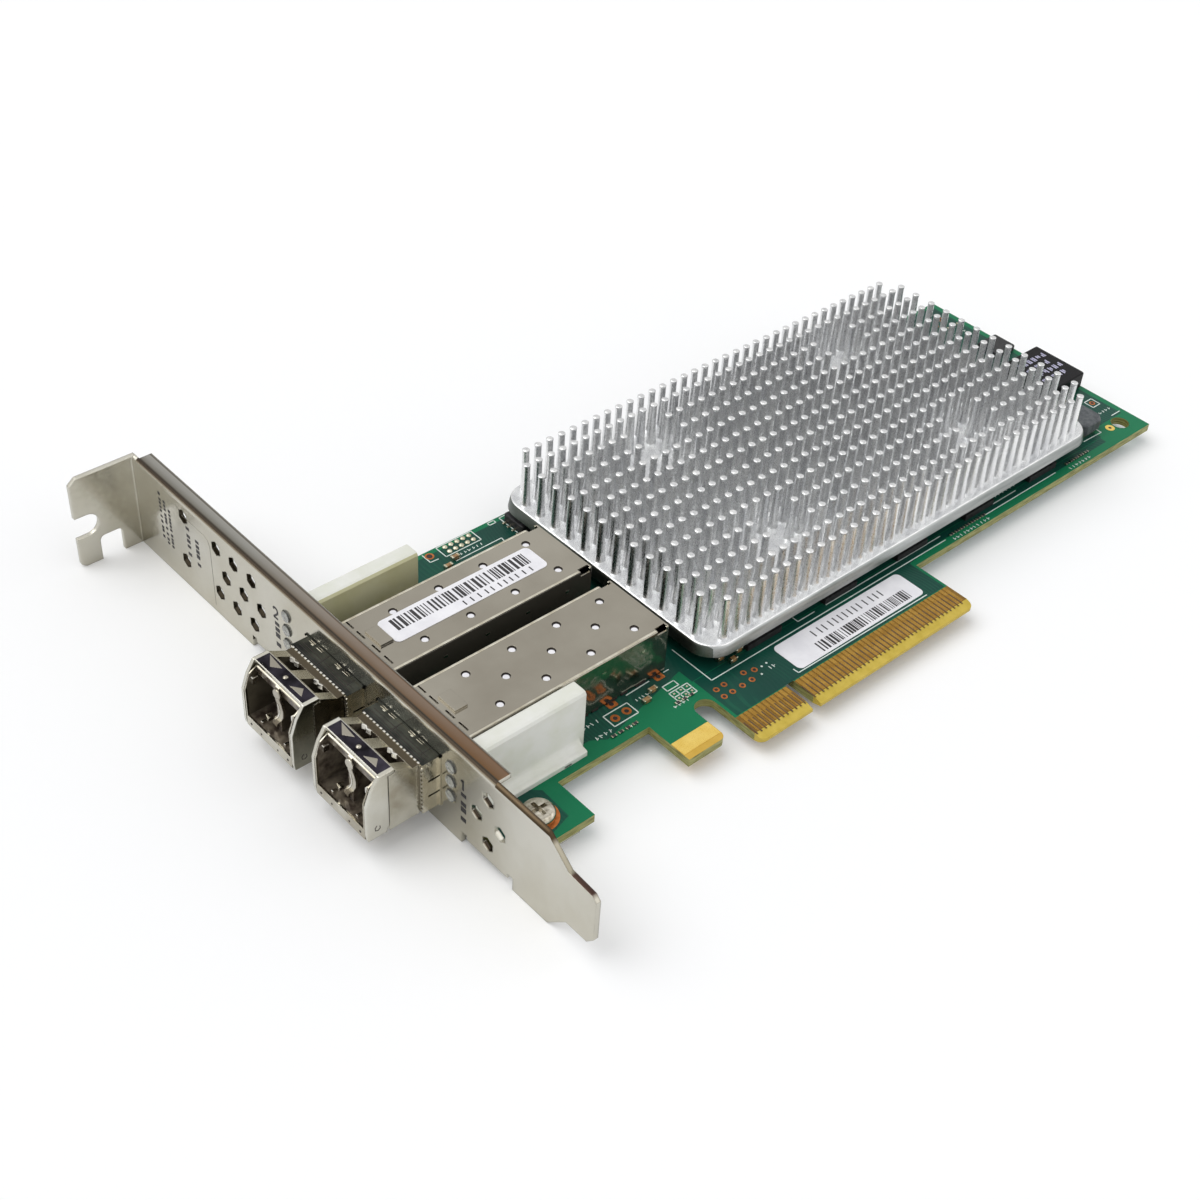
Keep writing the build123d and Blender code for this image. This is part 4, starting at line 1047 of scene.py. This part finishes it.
class ADAPTER_OT_transceivers(bpy.types.Operator):
    """Optical transceivers: housings, covers, inner boards and optical units"""

    bl_idname = "adapter.transceivers"
    bl_label = "Transceivers"

    def execute(self, context):
        dress(both("transceiver_housing"), "nose")
        dress(both("transceiver_cover"), "tin_edge")
        dress(both("transceiver_board"), "inner_board")
        dress(both("optical_units"), "solder")
        for port, low, high, mid in each_port("transceiver_housing"):
            details = Shape()
            front = along_x(low.x)
            details.lathe([(0.85, 1.75), (0.95, 1.85), (0.95, 2.12)], (mid - 0.1, 9.55, 0), 24, 1, False, front)
            brace = [
                (-0.3, 9.0), (-0.95, 8.1), (-1.25, 7.1), (-1.15, 6.1), (-0.65, 5.1), (0.1, 4.2), (0.7, 3.3),
                (0.9, 2.5),
            ]
            details.ribbon([(mid + y, z) for y, z in brace], 1.15, 1.7, 2.12, 1, front)
            details.ribbon([(mid + y + 0.35, z) for y, z in brace[1:-1]], 0.24, 1.62, 1.75, 0, front)
            details.ribbon([(mid + 2.3, 4.0), (mid + 1.9, 3.4), (mid + 2.0, 2.7)], 0.3, 1.2, 2.12, 0, front)
            for side in (-1, 1):
                y = mid + side * 3.1
                details.block((low.x + 0.7, y - 0.3, 1.75), (low.x + 1.6, y + 0.2, 2.15), 0.08)
                details.block((low.x + 1.05, mid + side * 5.1, 8.2), (low.x + 2.1, mid + side * 5.75, 9.5), 0.12)
                # Dark discs of painted shade stand for small holes low in the front.
                for radius, y, z in ((0.22, 4.9, 0.62), (0.18, 2.2, 0.5)):
                    details.lathe([(radius, -0.03), (radius, 0.05)], (mid + side * y, z, 0), 12, 2, False, front)
                start = mid + side * 3.125
                hook = [(start + 1.5, -65.2), (start + 0.9, -64.95), (start + 0.3, -65.25), (start - 0.5, -65.0)]
                details.ribbon([(x, y) for y, x in hook], 0.28, 9.7, 10.5)
                details.block((-67.2, start - 1.7, 9.0), (-66.7, start + 1.7, 9.5), 0.08, 3)
            details.build(f"nose_details_{port}", ["chrome", "die_cast", "hole", "black_nickel"])
        return {"FINISHED"}


class ADAPTER_OT_bails(bpy.types.Operator):
    """Bail latches with their dark top bars"""

    bl_idname = "adapter.bails"
    bl_label = "Bail latches"

    def execute(self, context):
        dress(both("bail_latch"), "bail_satin")
        for port, low, high, mid in each_port("bail_latch"):
            front, back = high.x - 2.7, high.x
            top = high.z
            bar = Shape()
            bar.block((front + 0.15, low.y + 0.7, top - 0.01), (back - 0.15, high.y - 0.7, top + 0.04), 0.02)
            for outline in (
                [(-69.6, 3.4), (-68.1, 5.6), (-68.4, 1.9)],
                [(-69.7, -1.9), (-68.4, -3.7), (-69.6, -4.9)],
            ):
                bar.prism([(x, mid + y) for x, y in outline], top + 0.03, top + 0.06, 0.0, 1)
            centre = ((front + back) / 2, mid, top + 0.03)
            bar.lathe([(0.42, 0), (0.42, 0.05), (0.25, 0.2), (0.05, 0.24)], centre, 14, 1)
            for side, sign in ((low.y, -1), (high.y, 1)):
                mark = [(0.55, 1.0), (0.2, 0.6), (0.25, 0.1), (0.7, -0.1), (1.1, 0.2), (1.05, 0.7)]
                a, b = sorted((-side, -(side + sign * 0.03)))
                bar.ribbon([(low.x + 1.2 + x, 1.25 + z) for x, z in mark], 0.12, a, b, 2, facing_y())
            bar.build(f"bail_top_{port}", ["black_nickel", "tin", "hole"], f"bail_{port}")
        return {"FINISHED"}


class ADAPTER_OT_light_pipes(bpy.types.Operator):
    """Light pipe housings with flared feet, clear pipes and lamps"""

    bl_idname = "adapter.light_pipes"
    bl_label = "Light pipes"

    def execute(self, context):
        dress(both("light_pipes"), "clear")
        dress(both("port_lamps"), "lamp")
        for port, low, high, mid in each_port("light_pipe_housing"):
            inner = high.y
            outer = high.y - 3.2
            foot = low.y
            shell = [(inner, 0.0), (inner, high.z - 0.45), (inner - 0.12, high.z - 0.14), (inner - 0.4, high.z)]
            shell += [(outer + 0.7, high.z), (outer + 0.3, high.z - 0.14), (outer, high.z - 0.6), (outer, 0.0)]
            body = Shape()
            body.prism(shell, 0.0, high.x - low.x, 0.12, 0, along_x(low.x))
            lip = [(outer + 0.3, 0.0), (outer + 0.3, 2.6), (outer, 2.6)]
            for n in range(7):
                angle = math.radians(15 * n)
                lip.append((outer - 1.5 * (1 - math.cos(angle)), 2.6 - 1.5 * math.sin(angle)))
            lip += [(foot + 0.12, 1.0), (foot, 0.85), (foot, 0.0)]
            body.prism(lip, 1.9, high.x - low.x - 1.0, 0.06, 0, along_x(low.x))
            body.block((high.x - 5.6, foot, 0.0), (high.x - 4.2, foot + 0.4, 0.5), 0.1)
            body.lathe([(0.5, 0), (0.5, 0.8), (0.36, 1.0)], (high.x - 4.9, foot + 0.5, 0.0), 12)
            body.build(
                f"light_pipe_cover_{port}", ["pipe_moulding"], CARD, (f"light_pipe_housing_{port}",)
            )
        return {"FINISHED"}


class ADAPTER_OT_heatsink(bpy.types.Operator):
    """Pin-fin heatsink and its fixings"""

    bl_idname = "adapter.heatsink"
    bl_label = "Heatsink"

    def execute(self, context):
        sizes = context.scene.adapter_sizes
        foot = sizes.pin_base / MM / 2
        tip = sizes.pin_tip / MM / 2
        low, high = mm_box("heatsink")
        plate_top = low.z + 2.4
        sink = Shape()
        rim = rounded_outline(low, high, 5.0, 10)
        rows = ((0.35, 0.0), (0.0, 0.3), (0.3, 1.9), (0.5, 2.3), (0.65, 2.4), (0.95, 2.4))
        sink.stack([[(x, y, low.z + up) for x, y in inset_outline(rim, inset)] for inset, up in rows], 0, True)
        sides = len(rim)
        sink.kinds[1:1 + 4 * sides] = [3] * 3 * sides + [2] * sides
        height = high.z - plate_top
        profile = [
            (foot * 1.12, -0.1), (foot, 0.25), (foot * 0.88, 1.2), (tip * 1.04, height * 0.6),
            (tip, height - 0.2),
        ]
        cap_shape = ((0.98, 0.45), (1.1, 0.32), (1.1, 0.12), (0.8, 0.02), (0.4, 0.0))
        cap = [(tip * share, height - below) for share, below in cap_shape]
        wander = random.Random(3)
        for x, y in pin_places():
            lean_x = wander.uniform(-0.05, 0.05)
            lean_y = wander.uniform(-0.05, 0.05)
            place = Matrix(
                ((1, 0, lean_x / height, x), (0, 1, lean_y / height, y), (0, 0, 1, plate_top), (0, 0, 0, 1))
            )
            sink.lathe(profile, (0, 0, 0), 12, 1, True, place)
            sink.lathe(cap, (0, 0, 0), 12, 2, True, place)
        for column in range(PIN_COLUMNS - 1):
            for row in range(PIN_ROWS - 1):
                spot = (*pin_place(column + 0.5, row + 0.5), plate_top)
                sink.lathe([(0.24, -0.05), (0.22, 0.1), (0.1, 0.2)], spot, 7)
        surfaces = ["aluminium", "pin_side", "pin_tip", "sink_edge"]
        sink.build("pin_heatsink", surfaces, CARD, ("heatsink",))
        dress(["heatsink_screws", "heatsink_washers", "heatsink_spacers"], "screw_steel")
        dress(["thermal_pad"], "pad")
        return {"FINISHED"}


def pin_place(column, row):
    """Where a column and a row of the heatsink's grid cross."""
    return PIN_START[0] + PIN_STEP[0] * column, PIN_START[1] + PIN_STEP[1] * row


def pin_places():
    """Centres of the heatsink's pins: a grid with four gaps and two closer outer rows."""
    gaps = {(c + i, r + j) for c in (8, 26) for r in (1, 9) for i in range(3) for j in range(2)}
    places = []
    for column in range(PIN_COLUMNS):
        places += [pin_place(column, row) for row in range(PIN_ROWS) if (column, row) not in gaps]
        if 0 < column < PIN_COLUMNS - 1:
            places += [(pin_place(column, 0)[0], y) for y in OUTER_ROWS]
    return places


class ADAPTER_OT_chips(bpy.types.Operator):
    """Chips, power module, regulator and inductor"""

    bl_idname = "adapter.chips"
    bl_label = "Chips"

    def execute(self, context):
        dress(["controller_chip", "memory_chips"], "chip")
        for node, name, surface, slot, edge in (
            ("power_module", "power_brick", "module_black", "chip_black", 0.25),
            ("voltage_regulator", "regulator_body", "chip", "chip_black", 0.15),
            ("flash_chip", "flash_body", "chip", "chip_black", 0.15),
            ("oscillator", "oscillator_can", "solder", "optics_metal", 0.12),
        ):
            low, high = mm_box(node)
            body = Shape()
            body.prism(rounded_outline(low, high, 0.45, 4), 0.05, high.z, edge)
            if node == "power_module":
                draw = random.Random(5)
                for row in range(4):
                    for n in range(6 - row % 2):
                        x = low.x + 1.9 + 1.45 * n
                        y = high.y - 3.0 - 2.1 * row
                        for part in range(2):
                            left = x + 0.5 * part
                            tall = draw.choice((0.4, 0.65, 0.65))
                            shift = draw.uniform(-0.25, 0.25) if tall < 0.5 else 0
                            upper = (left + 0.34, y + shift + tall, high.z + 0.02)
                            body.block((left, y + shift - tall, high.z - 0.01), upper, 0, 1)
            if node == "flash_chip":
                for n in range(4):
                    for side, sign in ((low.x, -1), (high.x, 1)):
                        y = low.y + 0.5 + 1.27 * n
                        body.block((side, y, 0.0), (side + sign * 0.8, y + 0.4, 0.25), 0.04, 2)
            body.build(name, [surface, "print_grey", "solder"], CARD, (node,))
        low, high = mm_box("power_inductor")
        outline = rounded_outline(low, high, 1.3, 1)
        coil = Shape()
        coil.prism(outline, 0.6, high.z, 0.2)
        coil.prism(inset_outline(outline, 0.5), 0.0, 0.7, 0.0, 1)
        coil.build("inductor_body", ["ferrite", "solder"], CARD, ("power_inductor",))
        return {"FINISHED"}


class ADAPTER_OT_small_parts(bpy.types.Operator):
    """Capacitors and resistors with their metal ends"""

    bl_idname = "adapter.small_parts"
    bl_label = "Small parts"

    def execute(self, context):
        capacitors = Shape()
        for x, y in ((-5.7, 17.0), (-4.3, 15.4), (-22.0, 17.2), (98.4, 26.4), (-26.2, 62.8)):
            for left, lower in ((x, y), (x + 2.4, y + 1.2)):
                small_part(capacitors, left, lower, 1.6, 0.8, 0.8)
        capacitors.build("capacitor_bodies", ["ceramic", "solder"], CARD, ("ceramic_capacitors",))
        resistors = Shape()
        for x, y, count in ((50.7, 14.6, 7), (85.3, 14.9, 5), (-31.0, 14.8, 4), (-18.0, 14.0, 3), (103.0, 60.0, 4)):
            for n in range(count):
                small_part(resistors, x + 1.5 * n, y, 1.0, 0.5, 0.35)
        resistors.build("resistor_bodies", ["resistor", "solder"], CARD, ("chip_resistors",))
        return {"FINISHED"}


def small_part(shape, x, y, length, width, height):
    """A chip part with a metal cap at each end."""
    cap = length * 0.22
    shape.block((x + cap * 0.8, y + 0.03, 0.02), (x + length - cap * 0.8, y + width - 0.03, height - 0.02), 0.05)
    for left in (x, x + length - cap):
        shape.block((left, y, MASK_TOP), (left + cap, y + width, height), 0.06, 1)


class ADAPTER_OT_labels(bpy.types.Operator):
    """White labels with plain bars"""

    bl_idname = "adapter.labels"
    bl_label = "Labels"

    def execute(self, context):
        bars = context.scene.adapter_sizes.bars
        for node, name, margin_left, margin_right, bar_low, bar_high, dashes in (
            ("board_label", "board_label_sheet", 6.4, 2.4, 0.09, 0.45, (0.6, 0.84, 8.0, 5.0)),
            ("cage_label", "cage_label_sheet", 1.9, 1.6, 0.38, 0.86, (0.08, 0.28, 14.0, 1.0)),
        ):
            low, high = mm_box(node)
            sheet = Shape()
            sheet.prism(rounded_outline(low, high, 1.0), low.z, high.z, 0.02)
            draw = random.Random(len(node))
            depth = high.y - low.y
            start = low.x + margin_left
            span = high.x - margin_right - start
            steps = [draw.choice((1, 1, 2, 2, 3)) for n in range(bars * 2)]
            unit = span / sum(steps)
            x = start
            for n, step in enumerate(steps):
                if n % 2 == 0:
                    bar(sheet, x, unit * step, low.y + depth * bar_low, low.y + depth * bar_high, high.z)
                x += unit * step
            near, far, left, right = dashes
            x = low.x + left
            while x < high.x - right - 1.2:
                bar(sheet, x, 0.26, low.y + depth * near, low.y + depth * far, high.z)
                x += draw.choice((0.7, 1.0)) + 0.5
            sheet.build(name, ["label", "ink"], CARD, (node,))
        return {"FINISHED"}


def bar(shape, x, width, near, far, top):
    """A printed bar on a label."""
    shape.block((x, near, top - 0.005), (x + width, far, top + 0.012), 0, 1)


class ADAPTER_PT_panel(bpy.types.Panel):
    """Sidebar list of the adapter's pieces"""

    bl_idname = "ADAPTER_PT_panel"
    bl_label = "Adapter"
    bl_space_type = "VIEW_3D"
    bl_region_type = "UI"
    bl_category = "Adapter"

    def draw(self, context):
        for name, group in GROUPS.items():
            for key in group.__annotations__:
                self.layout.prop(getattr(context.scene, name), key)
        for step in STEPS:
            self.layout.operator(step.bl_idname)


STEPS = (
    ADAPTER_OT_stage,
    ADAPTER_OT_board,
    ADAPTER_OT_bracket,
    ADAPTER_OT_cages,
    ADAPTER_OT_transceivers,
    ADAPTER_OT_bails,
    ADAPTER_OT_light_pipes,
    ADAPTER_OT_heatsink,
    ADAPTER_OT_chips,
    ADAPTER_OT_small_parts,
    ADAPTER_OT_labels,
)
GROUPS = {"adapter_sizes": AdapterSizes, "adapter_colours": AdapterColours, "adapter_stage": AdapterStage}
CLASSES = (*GROUPS.values(), *STEPS, ADAPTER_PT_panel)


def register():
    for item in CLASSES:
        bpy.utils.register_class(item)
    for name, group in GROUPS.items():
        setattr(bpy.types.Scene, name, PointerProperty(type=group))


def unregister():
    for name in GROUPS:
        delattr(bpy.types.Scene, name)
    for item in reversed(CLASSES):
        bpy.utils.unregister_class(item)


def main():
    register()
    bpy.ops.adapter.stage()
    bpy.ops.adapter.board()
    bpy.ops.adapter.bracket()
    bpy.ops.adapter.cages()
    bpy.ops.adapter.transceivers()
    bpy.ops.adapter.bails()
    bpy.ops.adapter.light_pipes()
    bpy.ops.adapter.heatsink()
    bpy.ops.adapter.chips()
    bpy.ops.adapter.small_parts()
    bpy.ops.adapter.labels()


if __name__ == "__main__":
    main()
